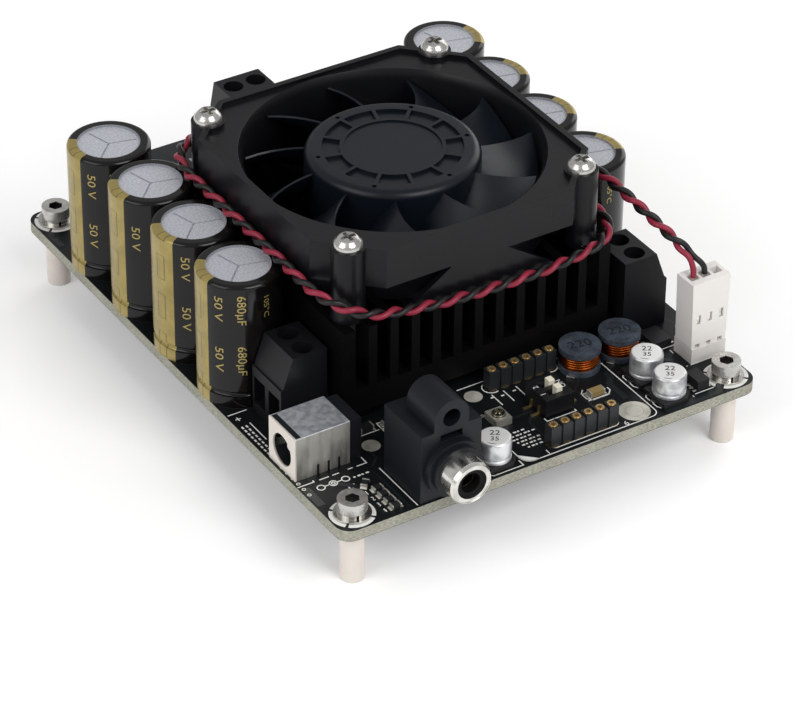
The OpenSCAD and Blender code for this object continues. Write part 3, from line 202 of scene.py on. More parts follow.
def sweep(path, profile):
    """Closed profile (across, up) carried along a path: path + across * level + up * upward. At each point the
    profile stands square to the path, with its across direction level; flat ends close it."""
    path = np.asarray(path, float)
    level, up = square_to(path)
    p, q = np.asarray(profile, float).T
    grid = path[:, None] + p[None, :, None] * level[:, None] + q[None, :, None] * up[:, None]
    n, m = len(path), len(p)
    faces = [*quads(n, m, wrap_cols=True)[:, ::-1].tolist(), list(range(m)), list(range((n - 1) * m, n * m))[::-1]]
    return grid.reshape(-1, 3), faces


def wire_section(radius, sides=10):
    """Circle as a profile for a sweep."""
    t = np.linspace(0, 2 * np.pi, sides, endpoint=False)
    return radius * np.stack([np.cos(t), np.sin(t)], -1)


def strip(points, width, height, base):
    """Flat strip along corner points on the board: a rectangle of that width and height carried along them.
    At a corner the width grows by one over the cosine of half the turn, so the edges stay parallel."""
    way = np.array([(x, y, base) for x, y in points], float)
    step = np.diff(way, axis=0)
    step /= np.linalg.norm(step, axis=1, keepdims=True)
    mean = np.concatenate([step[:1], step[:-1] + step[1:], step[-1:]])
    mean /= np.linalg.norm(mean, axis=1, keepdims=True)
    level = np.stack([mean[:, 1], -mean[:, 0], 0 * mean[:, 0]], -1)
    half = width / 2 / np.maximum(np.sum(mean * np.concatenate([step, step[-1:]]), axis=1), 0.4)
    corner = np.array([(-1, 0), (1, 0), (1, 1), (-1, 1)], float)
    grid = (way[:, None] + corner[None, :, :1] * half[:, None, None] * level[:, None]
            + corner[None, :, 1:] * np.array([0, 0, height]))
    n = len(way)
    faces = [*quads(n, 4, wrap_cols=True)[:, ::-1].tolist(), [0, 1, 2, 3], [4 * n - 1, 4 * n - 2, 4 * n - 3, 4 * n - 4]]
    return grid.reshape(-1, 3), faces


def arc(centre, radius, start, end, steps=24):
    """Points on a circle from one angle to another, in degrees."""
    t = np.radians(np.linspace(start, end, steps))
    return np.stack([centre[0] + radius * np.cos(t), centre[1] + radius * np.sin(t)], -1)


def copies(shape, places, turns=0.0):
    """The shape turned about z by each angle and moved to each place, as one shape."""
    points, faces = np.asarray(shape[0], float), shape[1]
    places = np.array([(*p, 0)[:3] for p in places], float)
    t = np.radians(np.broadcast_to(turns, len(places)))[:, None]
    x = points[None, :, 0] * np.cos(t) - points[None, :, 1] * np.sin(t)
    y = points[None, :, 0] * np.sin(t) + points[None, :, 1] * np.cos(t)
    grid = np.stack([x, y, points[None, :, 2] + 0 * t], -1) + places[:, None]
    count = len(points)
    return grid.reshape(-1, 3), [[v + i * count for v in f] for i in range(len(places)) for f in faces]


def piece(name, shapes, finishes, body="board", smooth=35):
    """One object from shapes given in millimetres. Each shape may name the finish it takes by number.
    Points of a shape that meet, as at a pole, become one."""
    points, faces, marks, count = [], [], [], 0
    for shape in shapes:
        points.append(np.asarray(shape[0], float) * MM)
        faces += [[v + count for v in f] for f in shape[1]]
        marks += [shape[2] if len(shape) > 2 else 0] * len(shape[1])
        count += len(shape[0])
    mesh = bpy.data.meshes.new(name)
    mesh.from_pydata(np.concatenate(points).tolist(), [], faces)
    mesh.polygons.foreach_set("material_index", np.array(marks, dtype=np.int32))
    work = bmesh.new()
    work.from_mesh(mesh)
    bmesh.ops.remove_doubles(work, verts=work.verts, dist=1e-8)
    work.to_mesh(mesh)
    work.free()
    for finish in finishes:
        mesh.materials.append(finish)
    mesh.shade_smooth() if smooth else mesh.shade_flat()
    made = bpy.data.objects.new(name, mesh)
    bpy.context.scene.collection.objects.link(made)
    if smooth:
        mesh.set_sharp_from_angle(angle=math.radians(smooth))
    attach(made, body)
    return made


def lettering(text, height, wide=1.0, cuts=0):
    """Plain letters as a flat mesh: points in millimetres, centred, with the capitals' height given. They are
    stretched by wide along the line, and cut into bands across it where they are to be bent."""
    curve = bpy.data.curves.new("letters", "FONT")
    curve.body, curve.align_x, curve.align_y = text, "CENTER", "CENTER"
    curve.size, curve.resolution_u = height / 0.7, 3
    holder = bpy.data.objects.new("letters", curve)
    bpy.context.scene.collection.objects.link(holder)
    mesh = bpy.data.meshes.new_from_object(holder.evaluated_get(bpy.context.evaluated_depsgraph_get()))
    work = bmesh.new()
    work.from_mesh(mesh)
    for level in np.linspace(-0.6, 0.6, cuts + 2)[1:-1]:
        bmesh.ops.bisect_plane(work, geom=work.verts[:] + work.edges[:] + work.faces[:],
                               plane_co=(0, level * height, 0), plane_no=(0, 1, 0))
    work.to_mesh(mesh)
    work.free()
    points = np.zeros(len(mesh.vertices) * 3)
    mesh.vertices.foreach_get("co", points)
    faces = [list(p.vertices) for p in mesh.polygons]
    bpy.data.objects.remove(holder)
    bpy.data.meshes.remove(mesh)
    bpy.data.curves.remove(curve)
    return points.reshape(-1, 3) * (wide, 1, 1), faces


def raised(letters, place, height=0.03, turn=0.0):
    """Letters on a level face: turned about z, moved to their place and closed to a thin plate of that height."""
    flat, faces = letters
    t = math.radians(turn)
    low = np.stack([flat[:, 0] * math.cos(t) - flat[:, 1] * math.sin(t) + place[0],
                    flat[:, 0] * math.sin(t) + flat[:, 1] * math.cos(t) + place[1], 0 * flat[:, 0] + place[2]], -1)
    return thick(low, low + np.array([0, 0, height]), faces)


def on_can(letters, centre, radius, angle, level, rise=0.03):
    """Letters on a can, reading down: the flat place (u, v) goes to the height level - u and to the angle plus
    v over the radius, closed to a plate that starts just inside the can."""
    flat, faces = letters
    t = math.radians(angle) + flat[:, 1] / radius
    low, high = (np.stack([centre[0] + r * np.cos(t), centre[1] + r * np.sin(t), level - flat[:, 0]], -1)
                 for r in (radius - 0.03, radius + rise))
    return thick(low, high, faces)


def thick(low, high, faces):
    """A plate between two copies of a flat mesh: the lower faces turned over, the upper ones, and a wall along
    each edge that only one face has."""
    n = len(low)
    edges = [(f[i], f[(i + 1) % len(f)]) for f in faces for i in range(len(f))]
    known = set(edges)
    walls = [[a, b, b + n, a + n] for a, b in edges if (b, a) not in known]
    return np.concatenate([low, high]), [f[::-1] for f in faces] + [[v + n for v in f] for f in faces] + walls


def plate(outline, base, height):
    """Flat plate of an outline that runs anticlockwise."""
    low = np.array([(x, y, base) for x, y in outline], float)
    return thick(low, low + np.array([0, 0, height]), [list(range(len(low)))])


def spline(points, count):
    """Smooth curve through points, evenly spaced by length: on each stretch between two points a cubic whose ends
    follow the chord of the points before and after."""
    p = np.concatenate([2 * points[:1] - points[1:2], points, 2 * points[-1:] - points[-2:-1]])
    t = np.linspace(0, len(points) - 1 - 1e-9, 4000)
    i, u = t.astype(int), (t % 1)[:, None]
    a, b, c, d = p[i], p[i + 1], p[i + 2], p[i + 3]
    curve = 0.5 * (2 * b + (c - a) * u + (2 * a - 5 * b + 4 * c - d) * u ** 2 + (3 * b - a - 3 * c + d) * u ** 3)
    run = np.concatenate([[0], np.cumsum(np.linalg.norm(np.diff(curve, axis=0), axis=1))])
    even = np.linspace(0, run[-1], count)
    return np.stack([np.interp(even, run, curve[:, k]) for k in range(3)], -1), even


# Materials


class Field:
    """A number that varies over a surface. Each operator adds a Math node."""

    def __init__(self, finish, socket):
        self.finish, self.socket = finish, socket

    def math(self, operation, *values):
        made = self.finish.node("ShaderNodeMath", {"operation": operation}, dict(enumerate(values)))
        return Field(self.finish, made.outputs[0])

    def __add__(self, other): return self.math("ADD", self, other)
    def __sub__(self, other): return self.math("SUBTRACT", self, other)
    def __rsub__(self, other): return self.math("SUBTRACT", other, self)
    def __mul__(self, other): return self.math("MULTIPLY", self, other)
    def __truediv__(self, other): return self.math("DIVIDE", self, other)
    def __pow__(self, other): return self.math("POWER", self, other)
    def __mod__(self, other): return self.math("FLOORED_MODULO", self, other)
    def __abs__(self): return self.math("ABSOLUTE", self)
    __radd__, __rmul__ = __add__, __mul__

    def least(self, other): return self.math("MINIMUM", self, other)
    def most(self, other): return self.math("MAXIMUM", self, other)
    def angle(self, other): return self.math("ARCTAN2", self, other)
    def root(self): return self.math("SQRT", self)

    def ease(self, low, high):
        """0 below low, 1 above high, smooth between."""
        made = self.finish.node("ShaderNodeMapRange", {"interpolation_type": "SMOOTHSTEP"},
                                {"Value": self, "From Min": low, "From Max": high})
        return Field(self.finish, made.outputs["Result"])

    def between(self, low, high, soft=0.02):
        """1 between low and high, 0 outside."""
        return self.ease(low - soft, low + soft) * (1 - self.ease(high - soft, high + soft))


def add_node(tree, kind, settings=None, sockets=None):
    """Any node of a tree: its settings are set first, then each socket gets a value or a link."""
    made = tree.nodes.new(kind)
    for key, value in (settings or {}).items():
        setattr(made, key, value)
    for key, value in (sockets or {}).items():
        value = value.socket if isinstance(value, Field) else value
        if isinstance(value, bpy.types.NodeSocket):
            tree.links.new(value, made.inputs[key])
        else:
            made.inputs[key].default_value = value
    return made


class Finish:
    """A node material that reads Object coordinates in millimetres."""

    def __init__(self, name, centre=(0, 0, 0)):
        self.material = bpy.data.materials.new(name)
        self.material.use_nodes = True
        self.tree = self.material.node_tree
        self.tree.nodes.clear()
        where = self.node("ShaderNodeTexCoord").outputs["Object"]
        place = {"Vector": where, "Scale": (1 / MM,) * 3, "Location": tuple(-c for c in centre)}
        self.mm = self.node("ShaderNodeMapping", {}, place).outputs["Vector"]
        apart = self.node("ShaderNodeSeparateXYZ", {}, {"Vector": self.mm})
        self.x, self.y, self.z = (Field(self, apart.outputs[i]) for i in range(3))

    def node(self, kind, settings=None, sockets=None):
        """Any node of this material."""
        return add_node(self.tree, kind, settings, sockets)

    def stretched(self, sx, sy, sz):
        """The place in millimetres with each direction scaled."""
        return self.node("ShaderNodeVectorMath", {"operation": "MULTIPLY"}, {0: self.mm, 1: (sx, sy, sz)}).outputs[0]

    def noise(self, scale, detail=3.0, place=None):
        """Smooth noise about 0.5; scale is cells to the millimetre."""
        made = self.node("ShaderNodeTexNoise", {}, {"Vector": place or self.mm, "Scale": scale, "Detail": detail})
        return Field(self, made.outputs[0])

    def mix(self, low, high, share):
        """A colour from low to high by a share."""
        low, high = (c if isinstance(c, bpy.types.NodeSocket) else (*c[:3], 1.0) for c in (low, high))
        return self.node("ShaderNodeMix", {"data_type": "RGBA"}, {0: share, 6: low, 7: high}).outputs[2]

    def surface(self, colour, rough, metal=0.0, bump=None, depth=0.02, **fixed):
        """Closes the material: a colour, roughness and metal share, a height field in millimetres of depth."""
        colour = colour if isinstance(colour, bpy.types.NodeSocket) else (*colour[:3], 1.0)
        sockets = {"Base Color": colour, "Roughness": rough, "Metallic": metal}
        sockets.update({key.replace("_", " "): value for key, value in fixed.items()})
        if bump is not None:
            sockets["Normal"] = self.node("ShaderNodeBump", {}, {
                "Height": bump, "Distance": depth * MM, "Strength": 1.0}).outputs[0]
        shader = self.node("ShaderNodeBsdfPrincipled", {}, sockets)
        self.node("ShaderNodeOutputMaterial", {}, {"Surface": shader.outputs[0]})
        return self.material


def scaled(colour, share):
    """A colour made darker or lighter."""
    return tuple(min(1.0, c * share) for c in tuple(colour)[:3])


def moulded(name, colour, rough=0.45, grain=6.0, depth=0.012, lift=0.25, gloss=0.3):
    """Moulded plastic: fine grain, slow drift of tone and gloss, faint pale scuffs."""
    f = Finish(name)
    fine, slow = f.noise(grain, 2.0), f.noise(0.09, 3.0)
    scuff = f.noise(0.5, 5.0, f.stretched(1, 0.35, 1)).ease(0.62, 0.8)
    pale = tuple(min(1.0, c * (1 + lift) + 0.004 * lift) for c in colour)
    tint = f.mix(colour, pale, (slow * 0.7 + scuff * 0.3).least(1.0))
    gloss_map = rough + (fine - 0.5) * 0.16 + (slow - 0.5) * 0.14
    return f.surface(tint, gloss_map, bump=fine, depth=depth, Specular_IOR_Level=gloss)


def plated(name, colour, rough=0.22, grain=(1, 1, 1), depth=0.004, dull=None, metal=1.0):
    """Plated metal: fine drawn lines along the least scaled direction, clouded by handling."""
    f = Finish(name)
    lines, cloud = f.noise(5.0, 3.0, f.stretched(*grain)), f.noise(0.35, 3.0)
    tint = f.mix(dull or scaled(colour, 0.72), colour, cloud.ease(0.3, 0.62))
    return f.surface(tint, rough + (lines - 0.5) * 0.18 + (0.6 - cloud) * 0.12, metal, bump=lines, depth=depth)


def ink(name, low, high, scale, rough):
    """Printed ink: a tone that drifts between two colours."""
    f = Finish(name)
    return f.surface(f.mix(low, high, f.noise(scale, 2.0)), rough)


def dress(nodes, material):
    """Gives CAD nodes a material."""
    for name in nodes:
        NODES[name].data.materials.clear()
        NODES[name].data.materials.append(material)


def joiner(angle):
    """Geometry nodes for display: join a solid's triangles and shade all smooth but the edges over an angle."""
    tree = bpy.data.node_groups.new("smooth_to_%d" % angle, "GeometryNodeTree")
    for way in ("INPUT", "OUTPUT"):
        tree.interface.new_socket("Geometry", in_out=way, socket_type="NodeSocketGeometry")
    bend = add_node(tree, "GeometryNodeInputMeshEdgeAngle").outputs[0]
    sharp = add_node(tree, "FunctionNodeCompare", {}, {0: bend, 1: math.radians(angle)}).outputs[0]
    last = add_node(tree, "NodeGroupInput").outputs[0]
    for kind, settings, sockets in (
            ("GeometryNodeRemoveAttribute", {}, {"Name": "custom_normal"}),
            ("GeometryNodeMergeByDistance", {}, {"Distance": 1e-6}),
            ("GeometryNodeSetShadeSmooth", {"domain": "FACE"}, {"Shade Smooth": True}),
            ("GeometryNodeSetShadeSmooth", {"domain": "EDGE"}, {"Shade Smooth": False, "Selection": sharp})):
        last = add_node(tree, kind, settings, {0: last, **sockets}).outputs[0]
    add_node(tree, "NodeGroupOutput", {}, {0: last})
    return tree


def soften(nodes, width=0.0, segments=2, angle=32):
    """Joins a CAD node's triangles for display, shades it smooth and rounds its sharp edges by a hair."""
    tree = bpy.data.node_groups.get("smooth_to_%d" % angle) or joiner(angle)
    for name in nodes:
        NODES[name].modifiers.new("join", "NODES").node_group = tree
        if width:
            edge = NODES[name].modifiers.new("edge", "BEVEL")
            edge.width, edge.segments = width * MM, segments
            edge.limit_method, edge.angle_limit = "ANGLE", math.radians(angle + 8)
            edge.harden_normals = True


# Sizes and colours that a user would change


def shade(title, words, code):
    """A colour property with its default."""
    return bpy.props.FloatVectorProperty(name=title, description=words, subtype="COLOR", size=3, min=0, max=1,
                                         default=tone(code))


def length(title, words, size):
    """A length property with its default in millimetres."""
    return bpy.props.FloatProperty(name=title, description=words, default=size * MM, unit="LENGTH")


class BoardColours(bpy.types.PropertyGroup):
    """Colours of the board's main finishes."""
    mask: shade("Mask", "Colour of the solder mask", "101315")
    silk: shade("Silk", "Colour of the printed lines", "e6e6e2")
    laminate: shade("Laminate", "Colour of the board's cut edge", "a09f92")
    anodised: shade("Anodised", "Colour of the heatsink", "070708")
    fan: shade("Fan", "Colour of the fan's frame", "090a0d")
    rotor: shade("Rotor", "Colour of the fan's hub and blades", "0b1017")
    sleeve: shade("Sleeve", "Colour of the capacitor sleeves", "0b0a09")
    gilt: shade("Gilt", "Colour of the gilt print on the sleeves", "a9975b")
    red: shade("Red lead", "Colour of the live strand", "8a2439")
    black: shade("Black lead", "Colour of the other strand", "181516")
    steel: shade("Steel", "Colour of plated fasteners", "c9c7c2")
    gold: shade("Gold", "Colour of gilt contacts", "d8b981")
    copper: shade("Copper", "Colour of enamelled wire", "a4511d")
    nylon: shade("Nylon", "Colour of the standoffs", "e9dfd7")
    plug: shade("Plug", "Colour of the fan plug and header", "e5e1dd")
    black_plastic: shade("Black plastic", "Colour of jacks and terminals", "15161a")


class BoardSizes(bpy.types.PropertyGroup):
    """Sizes of the pieces that are added to the solids."""
    strand: length("Strand", "Diameter of one strand of the lead", 1.12)
    twist: length("Twist", "Length of one turn of the pair", 7.2)
    thread: length("Thread", "Pitch of the fan screws' thread", 0.5)
    wire: length("Choke wire", "Diameter of the choke winding's wire", 0.5)
    silk_line: length("Silk line", "Width of the printed lines", 0.22)


class BoardOperator:
    """What the operators share."""
    bl_options = {"REGISTER", "UNDO"}

    @property
    def colours(self):
        return bpy.context.scene.board_colours

    @property
    def sizes(self):
        return bpy.context.scene.board_sizes


class BOARD_OT_stage(BoardOperator, bpy.types.Operator):
    """Camera at the photo's angle, pale floor and soft studio light"""
    bl_idname = "board.stage"
    bl_label = "Stage"

    def execute(self, context):
        scene = context.scene
        azimuth, elevation, roll = (math.radians(v) for v in (-32.361, 34.895, 0.582))
        focal, shift, distance, drop = 3861.417, (3.084, 0.733), 743.965, 1.0
        back = np.array([math.sin(azimuth) * math.cos(elevation), -math.cos(azimuth) * math.cos(elevation),
                         math.sin(elevation)])
        right = np.array([math.cos(azimuth), math.sin(azimuth), 0.0])
        up = np.cross(back, right)
        right, up = (right * math.cos(roll) + up * math.sin(roll), up * math.cos(roll) - right * math.sin(roll))
        lens = bpy.data.cameras.new("camera")
        pixels_wide, sensor = 794, 36
        lens.lens, lens.sensor_width, lens.sensor_fit = focal / pixels_wide * sensor, sensor, "HORIZONTAL"
        lens.clip_start, lens.clip_end = 0.05, 20
        camera = bpy.data.objects.new("camera", lens)
        turned = np.eye(4)
        turned[:3, :3] = np.stack([right, up, back], 1)
        turned[:3, 3] = (right * shift[0] + up * shift[1] + back * distance - (0, 0, drop)) * MM
        camera.matrix_world = Matrix(turned.tolist())
        scene.collection.objects.link(camera)
        scene.camera = camera
        scene.view_settings.view_transform = "Standard"
        self.floor(scene)
        self.lamps(scene)
        return {"FINISHED"}

    def floor(self, scene):
        """Flat pale floor: a grid of points on z = 0."""
        u = np.linspace(-4, 4, 9)
        x, y = np.meshgrid(u, u)
        mesh = bpy.data.meshes.new("floor")
        mesh.from_pydata(np.stack([x, y, 0 * x], -1).reshape(-1, 3).tolist(), [], quads(9, 9).tolist())
        f = Finish("floor_paper")
        paper = f.mix((0.94, 0.94, 0.94), (0.96, 0.96, 0.96), f.noise(0.02, 2.0))
        rays = f.node("ShaderNodeLightPath").outputs
        seen = Field(f, rays["Is Camera Ray"]).most(rays["Is Glossy Ray"]).most(rays["Is Transmission Ray"])
        white = f.mix((0.0, 0.0, 0.0), (0.14, 0.14, 0.14), seen)
        mesh.materials.append(f.surface(paper, 0.9, Emission_Color=white, Emission_Strength=1.0))
        floor = bpy.data.objects.new("floor", mesh)
        scene.collection.objects.link(floor)

    def lamps(self, scene):
        """Large soft lamps and an even white world."""
        world = bpy.data.worlds.new("studio")
        world.use_nodes = True
        world.node_tree.nodes["Background"].inputs["Color"].default_value = (1, 1, 1, 1)
        world.node_tree.nodes["Background"].inputs["Strength"].default_value = 0.5
        scene.world = world
        for name, place, size, power in (("key", (0.15, -0.75, 0.75), 0.6, 5.4), ("fill", (-0.85, -0.1, 0.6), 0.7, 3.4),
                                         ("rim", (0.85, 0.45, 0.35), 0.6, 2.0)):
            lamp = bpy.data.lights.new(name, "AREA")
            lamp.energy, lamp.size = power, size
            held = bpy.data.objects.new(name, lamp)
            held.location = place
            aim = np.array([0, 0, 0.03]) - np.array(place)
            held.rotation_mode = "QUATERNION"
            held.rotation_quaternion = Vector(aim).to_track_quat("-Z", "Y")
            scene.collection.objects.link(held)


class BOARD_OT_base(BoardOperator, bpy.types.Operator):
    """Board with its mask, cut edge, tracks, vias, pads and solder"""
    bl_idname = "board.base"
    bl_label = "Board"

    def execute(self, context):
        dress(["circuit_board"], self.laminate())
        soften(["circuit_board"], 0.06)
        self.tracks()
        self.pads()
        self.solder()
        return {"FINISHED"}

    def laminate(self):
        """Mask on the faces, cut glass and resin on the edge."""
        f = Finish("board_mask")
        edge = f.z.between(BOARD_UNDER + 0.1, BOARD_TOP - 0.1, 0.02)
        weave, cloud = f.noise(1.6, 5.0, f.stretched(1, 1, 3)), f.noise(0.15, 2.0)
        cut = f.mix(scaled(self.colours.laminate, 0.6), scaled(self.colours.laminate, 1.3),
                    (weave * 0.75 + cloud * 0.25).ease(0.32, 0.68))
        slow, fine = f.noise(0.12, 3.0), f.noise(4.0, 3.0)
        mask = f.mix(scaled(self.colours.mask, 0.7), scaled(self.colours.mask, 1.5), slow)
        rough = 0.36 + (slow - 0.5) * 0.16 + edge * 0.35
        return f.surface(f.mix(mask, cut, edge), rough, bump=fine, depth=0.01, Specular_IOR_Level=0.22)

    def tracks(self):
        """Copper under the mask, a hair above the board on both faces."""
        f = Finish("masked_copper")
        slow, fine = f.noise(0.2, 3.0), f.noise(4.0, 3.0)
        masked = f.surface(f.mix(scaled(self.colours.mask, 1.5), scaled(self.colours.mask, 3.0), slow),
                           0.3 + (slow - 0.5) * 0.2, bump=fine, depth=0.01, Specular_IOR_Level=0.4)
        above = [
            (1.6, [(-43.9, -45), (-43.9, -50.8)]), (1.0, [(-38, -46.9), (-35.8, -49.1), (-35.8, -58.6)]),
            (0.5, [(-30.8, -46.5), (-30.8, -59)]), (0.5, [(-30.1, -45.5), (-28.2, -43.6), (-28.2, -36)]),
            (0.5, [(-16, -45.5), (-13, -42.5), (-5.4, -42.5), (-1.6, -46.3), (3.4, -46.3)]),
            (0.5, [(-15, -44), (-12.4, -41.4), (-6.6, -41.4)]), (0.8, [(-7, -52), (-3.2, -48.2), (-3.2, -47.6)]),
            (0.5, [(1.2, -54.6), (1.2, -49), (2.6, -47.6)]), (0.5, [(3.8, -54.6), (3.8, -51.4), (6, -50.6)]),
            (0.5, [(13.9, -54.8), (13.9, -45), (16.4, -42.6), (16.4, -41)]), (0.5, [(11.4, -54.8), (11.4, -50.6)]),
            (1.2, [(20.6, -52), (20.6, -46.4), (22, -45), (22, -43)]), (0.8, [(23.8, -44.6), (33, -44.6), (35, -46.6)]),
            (1.6, [(24.5, -58.9), (36.4, -58.9), (43.6, -51.7), (43.6, -36)]), (0.5, [(33, -50), (36, -50), (38, -48)]),
            (1.2, [(-43.8, 46.6), (-43.8, 50)]), (0.8, [(-28, 50), (-8, 50), (-5, 53)]),
            (0.8, [(28, 50), (12, 50), (9, 53)])]
        x, y = abs(middle("right_capacitor_1")[0]), [middle("left_capacitor_%d" % i)[1] for i in (1, 4)]
        rails = [(3.0, [(side * x, y[0] + 3.75), (side * x, y[1] - 3.75)]) for side in (-1, 1)]
        below = rails + [
            (2.6, [(-x, y[1] - 3.75), (-31, -20), (-31, -27)]), (2.6, [(x, y[1] - 3.75), (32.3, -21), (32.3, -33)]),
            (2.6, [(-40.5, -38), (-36.5, -33), (-31, -27)]), (1.4, [(-32.5, -38), (-28, -42), (-24, -49)]),
            (2.4, [(-10.2, 39), (-6, 45), (-0.6, 52)]), (2.4, [(10.2, 39), (7, 46), (4.4, 52)]),
            (2.4, [(-22.2, 39), (-26, 34), (-31, 33)]), (2.4, [(22.2, 39), (26, 34), (31, 33)]),
            *[(0.6, [(sx, NEAR_STRIP), (sx - 1.3, STRIP_Y - 7 - i * 0.9), (sx - 1.3, STRIP_Y + 6 - i * 0.9),
                     (sx, FAR_STRIP)]) for i, sx in enumerate(SOCKET_X)],
            *[(0.6, [(38.4 + PITCH * i, -46.6), (36 + i, -42 + i), (24 + i, -30 + i), (24 + i, -12 + i)])
              for i in (0, 1, 2)],
            *[(0.5, [(-19.7 - 3 * i, -50.7), (-14 - i, -45 + i), (-4 - i, -45 + i), (1, -40 + i)]) for i in (0, 1)]]
        shapes = [strip(way, width, COPPER_LIFT, BOARD_TOP - 0.01) for width, way in above]
        shapes += [strip(way, width, COPPER_LIFT, BOARD_UNDER - COPPER_LIFT + 0.01) for width, way in below]
        piece("board_tracks", shapes, [masked], smooth=0)

    def pads(self):
        """Tinned test pads, rings at the socket feet, chip pads and vias."""
        tin = plated("tin", tone("e2dfd2"), 0.36, metal=0.45)
        gold = plated("pad_gold", tuple(self.colours.gold), 0.25)
        low, high = BOARD_TOP - 0.01, BOARD_TOP + COPPER_LIFT
        shapes = [copies(disc(1.75, low, high), [(-3.1, -36.9), (-27.1, -40.1)]),
                  copies(disc(1.5, low, high), [(-30.5, 54.2), (30.5, 54.2)])]
        shapes.append(copies(disc(3.0, low, BOARD_TOP + 0.04, 1.75, 48), [(19.6, -56.0)]))
        shapes.append(copies(disc(1.7, low, high), [(19.6, -56.0)]))
        shapes.append((*copies(disc(1.45, low, high, 0.8), SOCKETS), 1))
        shapes += [copies(block((0.7, min(l, 1.6), 0.1), (side * w / 2, 0, BOARD_TOP + 0.02)), [(x, y)], turn)
                   for x, y, w, l, h, turn in CHIPS for side in (-1, 1)]
        vias = [(-44.2, y) for y in np.arange(-47, -36, 1.9)] + [(43.9, y) for y in np.arange(-41, -36, 1.9)]
        vias += [(x, -42.9) for x in np.arange(-14, -3, 1.8)] + [(x, -34.6) for x in np.arange(12, 28, 2.3)]
        shapes.append(copies(disc(0.42, low, high, 0.2, 12), vias))
        low, high = BOARD_UNDER - COPPER_LIFT, BOARD_UNDER + 0.01
        shapes.append(copies(disc(1.35, low, high, 0.62, 20), lead_places()))
        shapes.append(copies(disc(4.4, low, high, 2.4, 40), CORNERS))
        piece("board_pads", shapes, [tin, gold])

    def solder(self):
        """Solder round each lead under the board: a cone with a hollow flank, turned once round."""
        f = Finish("solder")
        wave, cloud = f.noise(1.6, 2.0), f.noise(0.5, 2.0)
        tint = f.mix(tone("9c9c98"), tone("d6d5cf"), cloud)
        bright = f.surface(tint, 0.24 + (wave - 0.5) * 0.2, 1.0, bump=wave, depth=0.06)
        flank = [(0, -1.1), (0.47, -1.1), (0.5, -0.85), (0.62, -0.5), (0.86, -0.2), (1.2, -0.04), (1.2, 0.01),
                 (0, 0.01)]
        shape = copies(revolve(flank, 20), [(x, y, BOARD_UNDER - 0.03) for x, y in lead_places()])
        piece("solder_joints", [shape], [bright])


